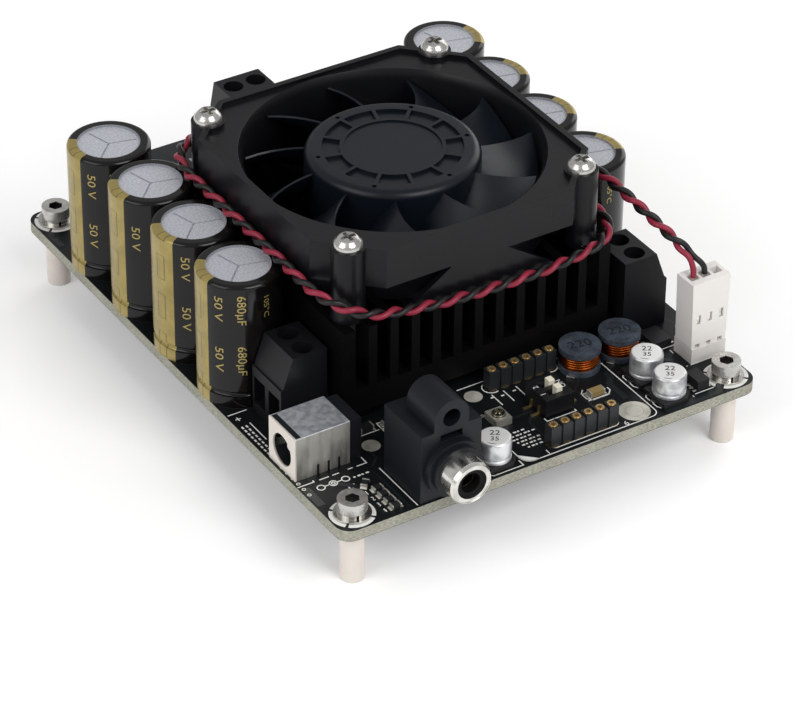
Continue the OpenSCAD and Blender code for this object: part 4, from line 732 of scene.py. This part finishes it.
class BOARD_OT_print(BoardOperator, bpy.types.Operator):
    """White print on the board: part outlines, the module's frame, marks and numbers"""
    bl_idname = "board.print"
    bl_label = "Print"

    def execute(self, context):
        f = Finish("silk_ink")
        slow, fine = f.noise(0.6, 3.0), f.noise(7.0, 3.0)
        worn = f.mix(scaled(self.colours.silk, 0.72), self.colours.silk, (slow + fine * 0.6).ease(0.45, 0.8))
        white = f.surface(worn, 0.62, bump=fine, depth=0.008)
        line, lift = self.sizes.silk_line / MM, INK_LIFT
        low = BOARD_TOP - 0.005
        shapes = [strip(way, line, lift, low) for way in self.lines()]
        shapes += [strip(way, 0.36, lift, low) for way in self.words()]
        shapes += [strip(arc(c, 3.75, start + 49, start + 131, 20), 0.95, lift, low)
                   for c in CORNERS for start in (0, 90, 180, 270)]
        corner = [(-6.3, -56.2), *arc((-4.3, -57.1), 2.0, 180, 270, 8), (-3.2, -59.1)]
        shapes.append(plate(corner, low, lift))
        shapes += [raised(lettering(text, height), (x, y, low), lift, turn)
                   for text, height, x, y, turn in self.marks()]
        piece("board_print", shapes, [white], smooth=0)
        under = BOARD_UNDER - lift + 0.005
        shapes = [strip(arc(middle(c)[:2], 6.6, 10, 350, 48), line, lift, under) for row in ROWS for c in caps(row)]
        shapes += [strip(way, line, lift, under) for way in self.lines_below()]
        piece("board_print_below", shapes, [white], smooth=0)
        return {"FINISHED"}

    def lines(self):
        """Outlines on the upper face, as corner points."""
        near, far, first, last = NEAR_STRIP, FAR_STRIP, SOCKET_X[0], SOCKET_X[-1]
        module = [(23.05, -40.2), *arc((21.55, -57.6), 1.5, 0, -90, 8),
                  *arc((-4.3, -57.1), 2.0, 270, 180, 8), (-6.3, -53.6)]
        tray = [(first - 0.95, near + 0.5), *arc((first + 0.2, near - 0.35), 1.15, 180, 270, 8),
                *arc((last + 0.1, near - 0.35), 1.15, 270, 360, 8), (last + 1.25, near + 0.2)]
        ways = [module, tray, arc((first, far), 1.7, 120, 290, 16), arc((last, far), 1.7, -110, 40, 14)]
        ways += [[(4.2, -49.4), (4.2, -50.4), (10.6, -50.4), (10.6, -49.8)], [(-4.7, -33.75), (1.4, -33.75)]]
        ways += [[(x, -38.2), (x, -41.9)] for x in (0.1, 2.65, 5.4)]
        ways.append([(15.2, -45.6), (14.3, -46.6), (14.3, -48.3), (15.2, -49.2), (18.6, -49.2), (19.6, -48.2),
                     (19.6, -47.2)])
        foot = np.array([(-2.0, 3.8), (-3.8, 1.9), (-3.8, -1.6), (-2.5, -3.75), (3.85, -3.75), (3.85, -2.2)])
        ways += [foot + c for c in SMALL_CAPS]
        ways += [[(-44.9, -44.1), (-41.5, -44.1), (-41.5, -43.6)], [(-40.4, -44.1), (-38.4, -44.1)],
                 [(-37.7, -44.1), (-36.3, -44.1)], [(-34.4, -44.0), (-33.4, -44.0)],
                 [(-32.6, -44.05), (-30.5, -44.05), (-30.5, -41.1)]]
        ways += [[(-29.4, -46.6), (-29.4, -59.5)], [(-22.7, -35), (-22.7, -41)], [(-28.6, -33.8), (-28.6, -38)]]
        row = [(-41.3, -46.2), (-38.75, -46.2), (-36.2, -46.2)]
        ways += [arc(c, 0.72, 0, 350, 20) for c in row]
        ways += [[(-40.5, -46.2), (-39.4, -46.2)], [(-38.1, -46.2), (-37.0, -46.2)]]
        ways.append(arc((-38.75, -46.2), 0.34, 0, 340, 14))
        ways += [[(-37.0, -47.4), (-37.0, -49.6)], [(-36.4, -47.8), (-36.4, -49.2)], [(-35.8, -48.2), (-35.8, -48.8)]]
        ways += [np.array([(-w / 2 - 0.8, s * (l / 2 + 0.35)), (w / 2 + 0.8, s * (l / 2 + 0.35))]) + (x, y)
                 for x, y, w, l, h, turn in CHIPS if turn == 0 and x > -30 for s in (-1, 1)]
        ways += [arc(middle(c)[:2], CAP_R + 0.35, -62, 62, 24) for c in caps("left")]
        ways += [arc(middle(c)[:2], CAP_R + 0.35, 118, 242, 24) for c in caps("right")]
        ways += [[(-42.2, -22.6), (-42.2, -28.6)], [(-44.6, -18.8), (-40.6, -18.8)],
                 [(36, -49.4), (44.6, -49.4), (44.6, -43.4)], [(-27.4, 30), (-27.4, 48.2), (27.4, 48.2), (27.4, 30)],
                 [(-4.4, 50.4), (-4.4, 49.4), (8.2, 49.4), (8.2, 50.4)]]
        ways += [[(s * 12, 52.2), (s * 24, 52.2), (s * 24, 58.4), (s * 12, 58.4)] for s in (-1, 1)]
        ways += [arc((s * 30.5, 54.2), 1.9, 0, 352, 28) for s in (-1, 1)]
        return ways

    def words(self):
        """Rows of short bars where a real board has fine words."""
        bars = []
        rows = ((-4.8, -50.2, 5), (-4.0, -51.2, 6), (-4.6, -52.2, 5), (-4.2, -53.2, 6), (-3.8, -54.2, 5),
                (-3.2, -55.2, 4), (-0.6, -39.0, 1), (1.4, -39.4, 1), (4.1, -39.2, 1), (25.4, -44.2, 2),
                (33.2, -51.6, 3), (-34.8, -46.6, 4), (-20, 54.6, 7), (-19, 56.2, 6), (17, 54.6, 6),
                (18, 56.2, 5), (-33, 57.6, 3), (31, 57.6, 3))
        for x, y, count in rows:
            for i in range(count):
                start = x + 0.85 * i
                bars.append([(start, y), (start + 0.4 + 0.25 * ((i * 7 + count) % 2), y)])
        for x in (-44.1, -43.2):
            bars += [[(x, y), (x, y - 0.7)] for y in np.arange(-23.0, -33.0, -1.15)]
        return bars

    def marks(self):
        """Plain numbers and signs on the upper face: words, height, x, y and angle."""
        numbers = [(str(i + 11), 1.15, -35.6, y, 0) for i, y in enumerate((-51.8, -53.8, -55.8, -57.8))]
        signs = [("+", 1.7, -43.6, -20.6, -90), ("+", 1.7, 26.0, -44.2, 0), ("1", 1.3, -0.9, -58.3, 0),
                 ("6", 1.3, 16.2, -58.4, 0), ("1", 1.2, 36.4, -44.1, 0), ("3", 1.2, 44.0, -42.5, 0),
                 ("+", 1.6, -3.4, 56.5, 0), ("+", 1.6, 42.4, -37.6, 0)]
        return numbers + signs + [(str(i + 1), 1.3, s * 26.6, 44 - 6 * i, 0) for i in range(2) for s in (-1, 1)]

    def lines_below(self):
        """Outlines on the lower face."""
        first, last = SOCKET_X[0] - 1.8, SOCKET_X[-1] + 1.8
        ways = [[(first, y - 1.8), (last, y - 1.8), (last, y + 1.8), (first, y + 1.8), (first, y - 1.6)]
                for y in (NEAR_STRIP, FAR_STRIP)]
        for p in POLES:
            (x0, y0, _), (x1, y1, _) = span(p + "_terminal_housing")
            x0, x1, y1 = x0 + 0.4, x1 - 0.4, min(y1, BACK - 1)
            ways.append([(x0, y0), (x1, y0), (x1, y1), (x0, y1), (x0, y0 + 0.3)])
        ways.append([(-29, -34), (29, -34), (29, 27), (-29, 27), (-29, -33.6)])
        return ways


class BOARD_OT_capacitors(BoardOperator, bpy.types.Operator):
    """Sleeves, stripes and ratings of the bulk capacitors, and the small signal capacitors"""
    bl_idname = "board.capacitors"
    bl_label = "Capacitors"

    def execute(self, context):
        f = Finish("gilt_ink")
        fine = f.noise(5.0, 3.0)
        gilt = f.surface(f.mix(scaled(self.colours.gilt, 0.8), scaled(self.colours.gilt, 1.15), fine), 0.36, 0.5)
        volts, farads, heat = (lettering(words, size, wide, 5) for words, size, wide in (
            ("50 V", 1.65, 1.2), ("680µF", 1.65, 1.08), ("105°C", 1.1, 1.2)))
        seams = {"left": (198, 201, 210, 194), "right": (18, 30, 24, 34)}
        repeat, lowest = 11.0, BOARD_TOP + 7.6
        for row in ROWS:
            for seam, start, name in zip(seams[row], (5.5, 8.0, 5.3, 5.0), caps(row)):
                centre, top = middle(name), span(name)[1][2]
                dress([name], self.sleeve(name, centre, seam - 27.5))
                levels = [v for v in (top - start, top - start - repeat) if v > lowest]
                columns = ((18, volts), (49, farads), (84, heat), (150, volts), (181, farads), (240, heat))
                shapes = [on_can(words, centre, CAP_R, seam + turn, v) for turn, words in columns for v in levels]
                piece(name + "_rating", shapes, [gilt], smooth=0)
        self.signal_capacitors()
        return {"FINISHED"}

    def sleeve(self, name, centre, outward):
        """Dark glossy sleeve with a gilt stripe on its outward side that runs over the rim, dashes on the stripe,
        and bare scored metal inside the rim."""
        base, top = BOARD_TOP, span(name)[1][2]
        f = Finish(name + "_sleeve", (centre[0], centre[1], base))
        c, s = math.cos(math.radians(outward)), math.sin(math.radians(outward))
        off = (f.y * c - f.x * s).angle(f.x * c + f.y * s)
        stripe = 1 - abs(off).ease(0.49, 0.51)
        wide, along = abs(off - 0.12), abs((f.z + 1.5) / 8.6 % 1.0 - 0.5)
        dash = (1 - (wide * 7.0).most(along * 3.2).ease(0.97, 1.0)) * (wide * 8.8).most(along * 3.36).ease(0.97, 1.0)
        out = (f.x * f.x + f.y * f.y).root()
        can = (1 - out.ease(5.95, 6.05)) * f.z.ease(top - base - 1.3, top - base - 1.2)
        under = 1 - f.z.ease(-0.02, 0.02)
        slow, fine = f.noise(0.3, 3.0), f.noise(2.5, 4.0)
        gilt = f.mix(scaled(self.colours.gilt, 0.72), self.colours.gilt, (slow * 0.7 + fine * 0.3).ease(0.3, 0.7))
        gilt = f.mix(gilt, tone("2c2616"), dash * 0.6)
        sleeve = f.mix(scaled(self.colours.sleeve, 0.7), scaled(self.colours.sleeve, 1.8), slow)
        brushed = f.noise(3.0, 4.0)
        metal = f.mix(tone("acafb6"), tone("cdcfd6"), brushed.ease(0.3, 0.7))
        colour = f.mix(f.mix(f.mix(sleeve, gilt, stripe), metal, can), tone("bdbcb6"), under)
        rough = 0.13 + (slow - 0.5) * 0.1 + stripe * 0.18 + can * 0.4
        share = (stripe * 0.4).most(can * 0.35).most(under * 0.9)
        return f.surface(colour, rough, share, bump=brushed * (can + 0.06), depth=0.012, Specular_IOR_Level=0.3)

    def signal_capacitors(self):
        """Small bright cans on black feet, with a dark polarity segment and a plain rating on top."""
        base, top = BOARD_TOP, span("signal_capacitors")[1][2]
        f = Finish("small_cans", (0, 0, base))
        foot = 1 - f.z.ease(1.16, 1.2)
        lines, cloud = f.noise(4.0, 3.0, f.stretched(1, 1, 0.1)), f.noise(0.4, 3.0)
        can = f.mix(tone("a9abae"), tone("e4e5e6"), cloud.ease(0.3, 0.65))
        lid = f.z.ease(top - base - 0.12, top - base - 0.06)
        rough = 0.38 + (lines - 0.5) * 0.16 + foot * 0.1
        tint = f.mix(f.mix(can, tone("eeeeec"), lid), tone("0e0e10"), foot)
        dress(["signal_capacitors"], f.surface(tint, rough, (0.75 - lid * 0.5) * (1 - foot), bump=lines, depth=0.01))
        soften(["signal_capacitors"])
        dark = ink("dark_ink", tone("141518"), tone("2a2b2f"), 3.0, 0.5)
        tin = plated("foot_tin", tone("cfcdc6"), 0.28)
        shapes = []
        for x, y in SMALL_CAPS:
            segment = [*arc((x, y), 2.5, 205, 245, 8)]
            shapes.append((*plate(segment, top - 0.005, 0.03), 0))
            shapes.append((*raised(lettering("22", 1.4), (x + 0.5, y + 0.75, top - 0.005), 0.03, -35), 0))
            shapes.append((*raised(lettering("35", 1.2), (x - 0.5, y - 0.75, top - 0.005), 0.03, -35), 0))
            shapes += [(*block((0.9, 1.0, 0.25), (x + s * 3.5, y, BOARD_TOP + 0.13)), 1) for s in (-1, 1)]
        piece("small_can_marks", shapes, [dark, tin], smooth=40)


class BOARD_OT_fan(BoardOperator, bpy.types.Operator):
    """Fan frame, rotor, motor and their screws"""
    bl_idname = "board.fan"
    bl_label = "Fan"

    def execute(self, context):
        for node, colour in (("fan_frame", self.colours.fan), ("fan_rotor", self.colours.rotor)):
            dress([node], moulded(node + "_plastic", tuple(colour), 0.32, grain=4.0, depth=0.01, lift=0.6, gloss=0.24))
        soften(["fan_frame"], 0.12)
        soften(["fan_rotor"])
        steel = plated("motor_steel", tuple(self.colours.steel), 0.3)
        dress(["rotor_yoke", "rotor_shaft", "fan_bearings"], steel)
        dress(["fan_stator"], plated("stator_copper", tuple(self.colours.copper), 0.3, (1, 1, 6)))
        bright = plated("fan_screw_steel", tuple(self.colours.steel), 0.22, metal=0.9)
        dress(["fan_screws"], bright)
        soften(["fan_screws"], 0.1, angle=50)
        self.threads(bright)
        return {"FINISHED"}

    def threads(self, bright):
        """Thread of the screws between fan and heatsink: a ridge along a helix, (r cos t, r sin t, rise of t)."""
        head, bare, shank = 2.65, 9.8, 1.3
        half = span("fan_screws")[1][0] - head - FAN_X
        turns = bare / (self.sizes.thread / MM)
        t = np.linspace(0, 1, int(turns * 18))
        around = 2 * np.pi * turns * t
        helix = np.stack([shank * np.cos(around), shank * np.sin(around), FAN_FOOT - bare + (bare - 0.2) * t], -1)
        ridge = sweep(helix, [(-0.15, -0.22), (0.16, 0), (-0.15, 0.22)])
        places = [(FAN_X + sx * half, FAN_Y + sy * half) for sx in (-1, 1) for sy in (-1, 1)]
        piece("fan_screw_threads", [copies(ridge, places)], [bright], smooth=30)


class BOARD_OT_lead(BoardOperator, bpy.types.Operator):
    """Twisted pair of the fan, from the duct once round the fan to its plug"""
    bl_idname = "board.lead"
    bl_label = "Fan lead"

    def execute(self, context):
        way, run = spline(LEAD_ROUTE, 900)
        level, up = square_to(way)
        radius = self.sizes.strand / MM / 2
        left = np.clip((run[-1] - run) / 9, 0, 1)
        part = (1 - left * left * (3 - 2 * left))[:, None]
        angle = (2 * np.pi * run / (self.sizes.twist / MM))[:, None]
        shapes = []
        for mark, sign in enumerate((1, -1)):
            beside = sign * radius * (np.cos(angle) * level + np.sin(angle) * up)
            apart = -sign * np.array([PITCH / 2, 0, 0])
            shapes.append((*sweep(way + beside * (1 - part) + apart * part, wire_section(radius, 12)), mark))
        finishes = [self.insulation("red_lead", self.colours.red), self.insulation("black_lead", self.colours.black)]
        lead = piece("fan_lead_pair", shapes, finishes, smooth=60)
        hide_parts("fan_lead")
        return {"FINISHED"}

    def insulation(self, name, colour):
        """Drawn plastic sleeve: soft sheen with faint streaks and dust."""
        f = Finish(name)
        fine, slow = f.noise(3.0, 3.0), f.noise(0.4, 2.0)
        tint = f.mix(scaled(colour, 0.75), scaled(colour, 1.25), slow)
        return f.surface(tint, 0.38 + (fine - 0.5) * 0.2, bump=fine, depth=0.015, Specular_IOR_Level=0.35)


class BOARD_OT_heatsink(BoardOperator, bpy.types.Operator):
    """Anodised heatsink with what it cools and its screws"""
    bl_idname = "board.heatsink"
    bl_label = "Heatsink"

    def execute(self, context):
        f = Finish("anodised")
        lines, slow = f.noise(2.2, 3.0, f.stretched(1, 0.02, 1)), f.noise(0.12, 3.0)
        tint = f.mix(scaled(self.colours.anodised, 0.7), scaled(self.colours.anodised, 1.7), slow)
        rough = 0.46 + (lines - 0.5) * 0.2
        dress(["heatsink"], f.surface(tint, rough, bump=lines, depth=0.03, Specular_IOR_Level=0.08))
        soften(["heatsink"], 0.1)
        dress(["power_transistors"], moulded("package_resin", tone("17181a"), 0.55))
        dress(["thermal_pad"], moulded("thermal_pad", tone("9aa0a6"), 0.7, gloss=0.2))
        dress(["heatsink_screws"], plated("sink_screw_steel", tuple(self.colours.steel), 0.26))
        soften(["heatsink_screws"], 0.1)
        return {"FINISHED"}


class BOARD_OT_jacks(BoardOperator, bpy.types.Operator):
    """Power jack, phono jack, socket strips, fan header and plug"""
    bl_idname = "board.jacks"
    bl_label = "Jacks and sockets"

    def execute(self, context):
        c = self.colours
        black = moulded("jack_plastic", tuple(c.black_plastic), 0.42)
        satin = self.phono()
        bright = plated("jack_nickel", tone("e6e4de"), 0.2)
        gold = plated("contact_gold", tuple(c.gold), 0.24, metal=0.75)
        dress(["dc_jack_housing"], black)
        dress(["socket_strips"], moulded("socket_plastic", tone("232528"), 0.4, gloss=0.3))
        dress(["rca_housing"], satin)
        dress(["rca_barrel"], bright)
        dress(["dc_jack_pin"], plated("jack_pin", tone("e6e4de"), 0.3, metal=0.4))
        # Painted shade: the phono's centre contact is tinted dark bronze, for the shade deep in its hole.
        dress(["rca_contact"], plated("phono_contact", tone("564c3e"), 0.34))
        dress(["socket_contacts"], gold)
        dress(["dc_jack_shield"], self.shield())
        dress(["fan_plug"], moulded("plug_nylon", tuple(c.plug), 0.42, lift=0.05))
        soften(["rca_housing"], 0.14)
        soften(["dc_jack_housing", "dc_jack_shield", "fan_plug"], 0.1)
        soften(["rca_barrel", "socket_strips", "rca_contact", "socket_contacts", "dc_jack_pin"], 0.05)
        self.header()
        self.small_metal(bright, gold)
        return {"FINISHED"}

    def phono(self):
        """Satin body, with painted shade inside the barrel: a deeper black there."""
        f = Finish("phono_plastic")
        fine, slow = f.noise(5.0, 2.0), f.noise(0.09, 3.0)
        # Painted shade: the front of the housing, inside the barrel, is tinted a deeper black than the body.
        inside = 1 - f.y.ease(span("rca_housing")[0][1] + 2.0, span("rca_housing")[0][1] + 2.2)
        tint = f.mix(f.mix(tone("0f1116"), tone("181b21"), slow), tone("050506"), inside)
        rough = 0.44 + (fine - 0.5) * 0.16 + inside * 0.3
        return f.surface(tint, rough, bump=fine, depth=0.014, Specular_IOR_Level=0.24)

    def shield(self):
        """Folded nickel plate with painted light and shade: a pale face and a brighter mottled top, and sides painted
        darker toward the foot.
        """
        low, high = span("dc_jack_shield")
        f = Finish("jack_shield", low)
        mottle, fine, streak = f.noise(0.9, 5.0), f.noise(6.0, 3.0), f.noise(0.5, 4.0, f.stretched(1, 1, 0.25))
        face = 1 - f.x.ease(0.3, 0.4)
        top = f.z.ease(high[2] - low[2] - 0.1, high[2] - low[2] - 0.05)
        # Painted light and shade on one nickel plate: the sides darken toward the foot, the top is tinted brighter and
        # the face pale.
        side = f.mix(tone("8f8d86"), tone("dad8d0"), (streak * 0.8 + f.z * 0.03).ease(0.3, 0.7))
        roof = f.mix(tone("b4b8c0"), tone("dfe2e8"), mottle.ease(0.3, 0.7))
        tint = f.mix(f.mix(side, roof, top), tone("dfd8cf"), face)
        rough = 0.34 + (mottle - 0.5) * 0.2 + face * 0.1
        return f.surface(tint, rough, 0.7 - face * 0.4, bump=mottle + fine * 0.3, depth=0.008)

    def header(self):
        """Pale base with bright square pins through it."""
        base = BOARD_TOP + 3.2
        f = Finish("header", (0, 0, base))
        pin = f.z.ease(0.0, 0.02).most(1 - f.z.ease(-3.22, -3.2))
        fine, slow = f.noise(5.0, 2.0), f.noise(0.2, 2.0)
        pale = f.mix(scaled(self.colours.plug, 0.85), self.colours.plug, slow)
        rough = 0.42 - pin * 0.2 + (fine - 0.5) * 0.1
        dress(["fan_header"], f.surface(f.mix(pale, tone("cfcdc6"), pin), rough, pin, bump=fine, depth=0.01))
        soften(["fan_header"], 0.06)

    def small_metal(self, bright, gold):
        """Spring in the power jack, crimped ends in the plug, the phono barrel's rolled lip, and the sockets' rims."""
        low, high = span("dc_jack_shield")
        x, y, z = low[0], middle("dc_jack_shield")[1], middle("dc_jack_pin")[2]
        t = np.linspace(0, 1, 10)
        tongue = np.stack([x + 0.7 + 6 * t, y + 2.75 - 0.9 * np.sin(np.pi * t) ** 2, z + 0 * t], -1)
        shapes = [sweep(tongue, [(-0.1, -0.8), (0.1, -0.8), (0.1, 0.8), (-0.1, 0.8)])]
        (_, front, foot), (_, _, roof) = span("fan_plug")
        at = middle("fan_plug")[0]
        window = foot + 0.36 * (roof - foot) + 1.0
        shapes += [block((0.74, 0.5, 1.7), (at + i * PITCH, front + 0.55, window)) for i in (-1, 0, 1)]
        shapes += [block((1.5, 1.5, 5), (at + i * PITCH, middle("fan_plug")[1], roof - 5.5)) for i in (-1, 0, 1)]
        piece("contact_springs", shapes, [bright])
        mouth = -span("rca_barrel")[0][1]
        turned, faces = disc(3.72, mouth - 0.62, mouth - 0.1, 3.0, 48)
        lip = np.stack([turned[:, 0] + RCA_X, -turned[:, 2], turned[:, 1] + middle("rca_barrel")[2]], -1)
        piece("phono_lip", [(lip, faces)], [bright])
        lid = span("socket_strips")[1][2]
        rims = copies(disc(0.85, lid - 0.01, lid + 0.06, 0.45, 20), SOCKETS)
        piece("socket_rims", [rims], [gold])


class BOARD_OT_terminals(BoardOperator, bpy.types.Operator):
    """Screw terminals with their screws, clamps and contacts"""
    bl_idname = "board.terminals"
    bl_label = "Screw terminals"

    def execute(self, context):
        black = moulded("terminal_plastic", tone("101114"), 0.42, grain=5.0, depth=0.015, lift=0.4, gloss=0.22)
        dress([p + "_terminal_housing" for p in POLES], black)
        soften([p + "_terminal_housing" for p in POLES], 0.12)
        steel = plated("terminal_steel", tuple(self.colours.steel), 0.24)
        moving = ["%s_terminal_%s_%d" % (p, kind, i) for p in POLES for kind in ("screw", "clamp") for i in (1, 2)]
        dress(moving + ["terminal_contacts"], steel)
        soften(moving, 0.08)
        return {"FINISHED"}


class BOARD_OT_chokes(BoardOperator, bpy.types.Operator):
    """Chokes with their wound wire, and the output inductors"""
    bl_idname = "board.chokes"
    bl_label = "Chokes"

    def execute(self, context):
        f = Finish("ferrite")
        fine, slow = f.noise(3.0, 4.0), f.noise(0.4, 3.0)
        tint = f.mix(tone("2e333a"), tone("525b68"), (slow * 0.6 + fine * 0.4).ease(0.3, 0.7))
        dress(["choke_cores"], f.surface(tint, 0.42 + (fine - 0.5) * 0.2, 0.15, bump=fine, depth=0.03))
        soften(["choke_cores"], 0.2, 3)
        dress(["output_inductors"], moulded("potted", tone("2a2c2f"), 0.6, grain=3.0, depth=0.03))
        soften(["output_inductors"], 0.4, 3)
        copper = plated("enamelled", tuple(self.colours.copper), 0.26, dull=tone("6e2f0e"))
        dress(["choke_windings"], copper)
        self.wire(copper)
        self.marks()
        return {"FINISHED"}

    def wire(self, copper):
        """Wire on each winding: a round section along a helix, (r cos t, r sin t, rise of t)."""
        low, high = span("choke_windings")
        wire = self.sizes.wire / MM
        turns = (high[2] - low[2] - wire) / (wire * 1.04)
        t = np.linspace(0, 1, 240)
        radius = (high[1] - low[1]) / 2 - 0.02
        helix = np.stack([radius * np.cos(2 * np.pi * turns * t), radius * np.sin(2 * np.pi * turns * t),
                          low[2] + wire / 2 + (high[2] - low[2] - wire) * t], -1)
        tin = plated("choke_tin", tone("c6c4bd"), 0.3)
        feet = [block((2.0, 1.6, 0.5), (s * 3.6, 0, BOARD_TOP + 0.26)) for s in (-1, 1)]
        shapes = [(*copies(sweep(helix, wire_section(wire / 2, 8)), CHOKES), 0)]
        shapes += [(*copies(foot, CHOKES, 35), 1) for foot in feet]
        piece("choke_wire", shapes, [copper, tin], smooth=60)

    def marks(self):
        """Plain numbers on the chokes and the output inductors."""
        dark = ink("choke_ink", tone("15181c"), tone("23272e"), 3.0, 0.5)
        white = ink("inductor_ink", tone("a8a8a4"), tone("cfcfca"), 3.0, 0.6)
        top, lid = span("choke_cores")[1][2] - 0.005, span("output_inductors")[1][2] - 0.005
        shapes = [(*raised(lettering("220", 2.2), (x, y, top), 0.025, -12), 0) for x, y in CHOKES]
        shapes += [(*raised(lettering("100", 3.2), (x, y, lid), 0.025), 1) for x, y in INDUCTORS]
        piece("choke_numbers", shapes, [dark, white], smooth=0)


class BOARD_OT_small(BoardOperator, bpy.types.Operator):
    """Switch, trimmer and chips"""
    bl_idname = "board.small"
    bl_label = "Small parts"

    def execute(self, context):
        f = Finish("switch", (DIP[0], DIP[1], BOARD_TOP))
        metal = abs(f.x).ease(3.11, 3.13)
        fine = f.noise(5.0, 2.0)
        body = f.mix(tone("0d0e10"), tone("1b1c1f"), f.noise(0.4, 2.0))
        tint, rough = f.mix(body, tone("c9b27c"), metal), 0.4 + (fine - 0.5) * 0.1
        dress(["dip_switch_housing"], f.surface(tint, rough, metal, bump=fine, depth=0.01))
        soften(["dip_switch_housing"], 0.06)
        ivory = moulded("ivory", tone("e8e2cf"), 0.4, lift=0.05)
        dress(["dip_slider_1", "dip_slider_2"], ivory)
        soften(["dip_slider_1", "dip_slider_2"], 0.08)
        dress(["trimmer_body"], plated("trimmer_frame", tone("a5a299"), 0.36, metal=0.5))
        dress(["trimmer_rotor"], plated("trimmer_metal", tone("b9b4a4"), 0.24))
        soften(["trimmer_body", "trimmer_rotor"], 0.06)
        self.switch_marks()
        self.chips()
        return {"FINISHED"}

    def switch_marks(self):
        """ON and the two numbers on the switch."""
        white = ink("switch_ink", tone("b8b8b4"), tone("e2e2de"), 4.0, 0.55)
        top = BOARD_TOP + 4.0 - 0.005
        words = (("ON", 1.1, 2.35, 0, 90), ("1", 1.1, -2.3, -PITCH / 2, 90), ("2", 1.1, -2.3, PITCH / 2, 90))
        shapes = [raised(lettering(t, h), (DIP[0] + x, DIP[1] + y, top), 0.03, turn) for t, h, x, y, turn in words]
        piece("switch_numbers", shapes, [white], smooth=0)

    def chips(self):
        """Resin bodies with tinned ends, or legs on the larger ones."""
        f = Finish("chip_bodies")
        tan = (f.x - 16.6).between(-1.7, 1.7) * (f.y + 47.9).between(-0.9, 0.9)
        fine = f.noise(4.0, 3.0)
        resin = f.mix(tone("121315"), tone("26272a"), fine)
        colour = f.mix(resin, tone("8f7a4e"), tan)
        rough = 0.5 + (fine - 0.5) * 0.2
        dress(["board_chips"], f.surface(colour, rough, bump=fine, depth=0.015, Specular_IOR_Level=0.35))
        soften(["board_chips"], 0.05)
        tin = plated("chip_tin", tone("d2d0c8"), 0.32, metal=0.7)
        shapes = []
        for x, y, w, l, h, turn in CHIPS:
            if w * l < 6:
                centre = BOARD_TOP + h / 2 + 0.01
                ends = [block((0.34, l + 0.04, h + 0.03), (s * (w / 2 - 0.16), 0, centre), 0.06) for s in (-1, 1)]
            else:
                legs = np.linspace(-l / 2 + 0.5, l / 2 - 0.5, 4)
                ends = [block((0.9, 0.4, 0.2), (s * (w / 2 + 0.35), at, BOARD_TOP + 0.11))
                        for s in (-1, 1) for at in legs]
            shapes += [copies(end, [(x, y)], turn) for end in ends]
        piece("chip_ends", shapes, [tin])


class BOARD_OT_fixings(BoardOperator, bpy.types.Operator):
    """Standoffs, socket screws and washers at the corners"""
    bl_idname = "board.fixings"
    bl_label = "Fixings"

    def execute(self, context):
        f = Finish("nylon")
        fine, slow = f.noise(2.0, 3.0), f.noise(0.25, 2.0)
        tint = f.mix(scaled(self.colours.nylon, 0.88), self.colours.nylon, slow)
        dress(["standoffs"], f.surface(tint, 0.36 + (fine - 0.5) * 0.14, bump=fine, depth=0.015,
                                       Subsurface_Weight=0.3, Subsurface_Scale=0.002))
        soften(["standoffs"], 0.12)
        dress(["corner_washers"], plated("washer_steel", tuple(self.colours.steel), 0.24))
        soften(["corner_washers"], 0.06)
        f = Finish("socket_steel", (0, 0, BOARD_TOP))
        out = ((abs(f.x) - CORNER_X) ** 2.0 + (abs(f.y) - CORNER_Y) ** 2.0).root()
        head = span("corner_screws")[1][2] - BOARD_TOP
        # Painted shade: the hex socket in each screw head is tinted dark.
        hollow = (1 - out.ease(1.42, 1.5)) * (1 - f.z.ease(head - 0.25, head - 0.1)) * f.z.ease(0.5, 0.6)
        cloud, turned = f.noise(0.6, 3.0), f.noise(3.0, 2.0, f.stretched(0.1, 0.1, 1))
        tint = f.mix(scaled(self.colours.steel, 0.75), self.colours.steel, cloud.ease(0.3, 0.6))
        tint = f.mix(tint, tone("3a3834"), hollow)
        dress(["corner_screws"], f.surface(tint, 0.26 + (cloud - 0.5) * 0.14, 0.72, bump=turned, depth=0.04))
        soften(["corner_screws"], 0.12)
        return {"FINISHED"}


OPERATORS = (BOARD_OT_stage, BOARD_OT_base, BOARD_OT_print, BOARD_OT_capacitors, BOARD_OT_fan, BOARD_OT_lead,
             BOARD_OT_heatsink, BOARD_OT_jacks, BOARD_OT_terminals, BOARD_OT_chokes, BOARD_OT_small, BOARD_OT_fixings)


class BOARD_PT_panel(bpy.types.Panel):
    """Lists the operators with their sizes and colours"""
    bl_idname = "BOARD_PT_panel"
    bl_label = "Amplifier board"
    bl_space_type = "VIEW_3D"
    bl_region_type = "UI"
    bl_category = "Amplifier"

    def draw(self, context):
        for cls in OPERATORS:
            self.layout.operator(cls.bl_idname)
        for group in (context.scene.board_colours, context.scene.board_sizes):
            for name in group.bl_rna.properties.keys():
                if name not in ("rna_type", "name"):
                    self.layout.prop(group, name)


CLASSES = (BoardColours, BoardSizes, *OPERATORS, BOARD_PT_panel)


def register():
    for cls in CLASSES:
        bpy.utils.register_class(cls)
    bpy.types.Scene.board_colours = bpy.props.PointerProperty(type=BoardColours)
    bpy.types.Scene.board_sizes = bpy.props.PointerProperty(type=BoardSizes)


def unregister():
    del bpy.types.Scene.board_colours, bpy.types.Scene.board_sizes
    for cls in reversed(CLASSES):
        bpy.utils.unregister_class(cls)


def main():
    register()
    for cls in OPERATORS:
        group, name = cls.bl_idname.split(".")
        getattr(getattr(bpy.ops, group), name)()


if __name__ == "__main__":
    main()
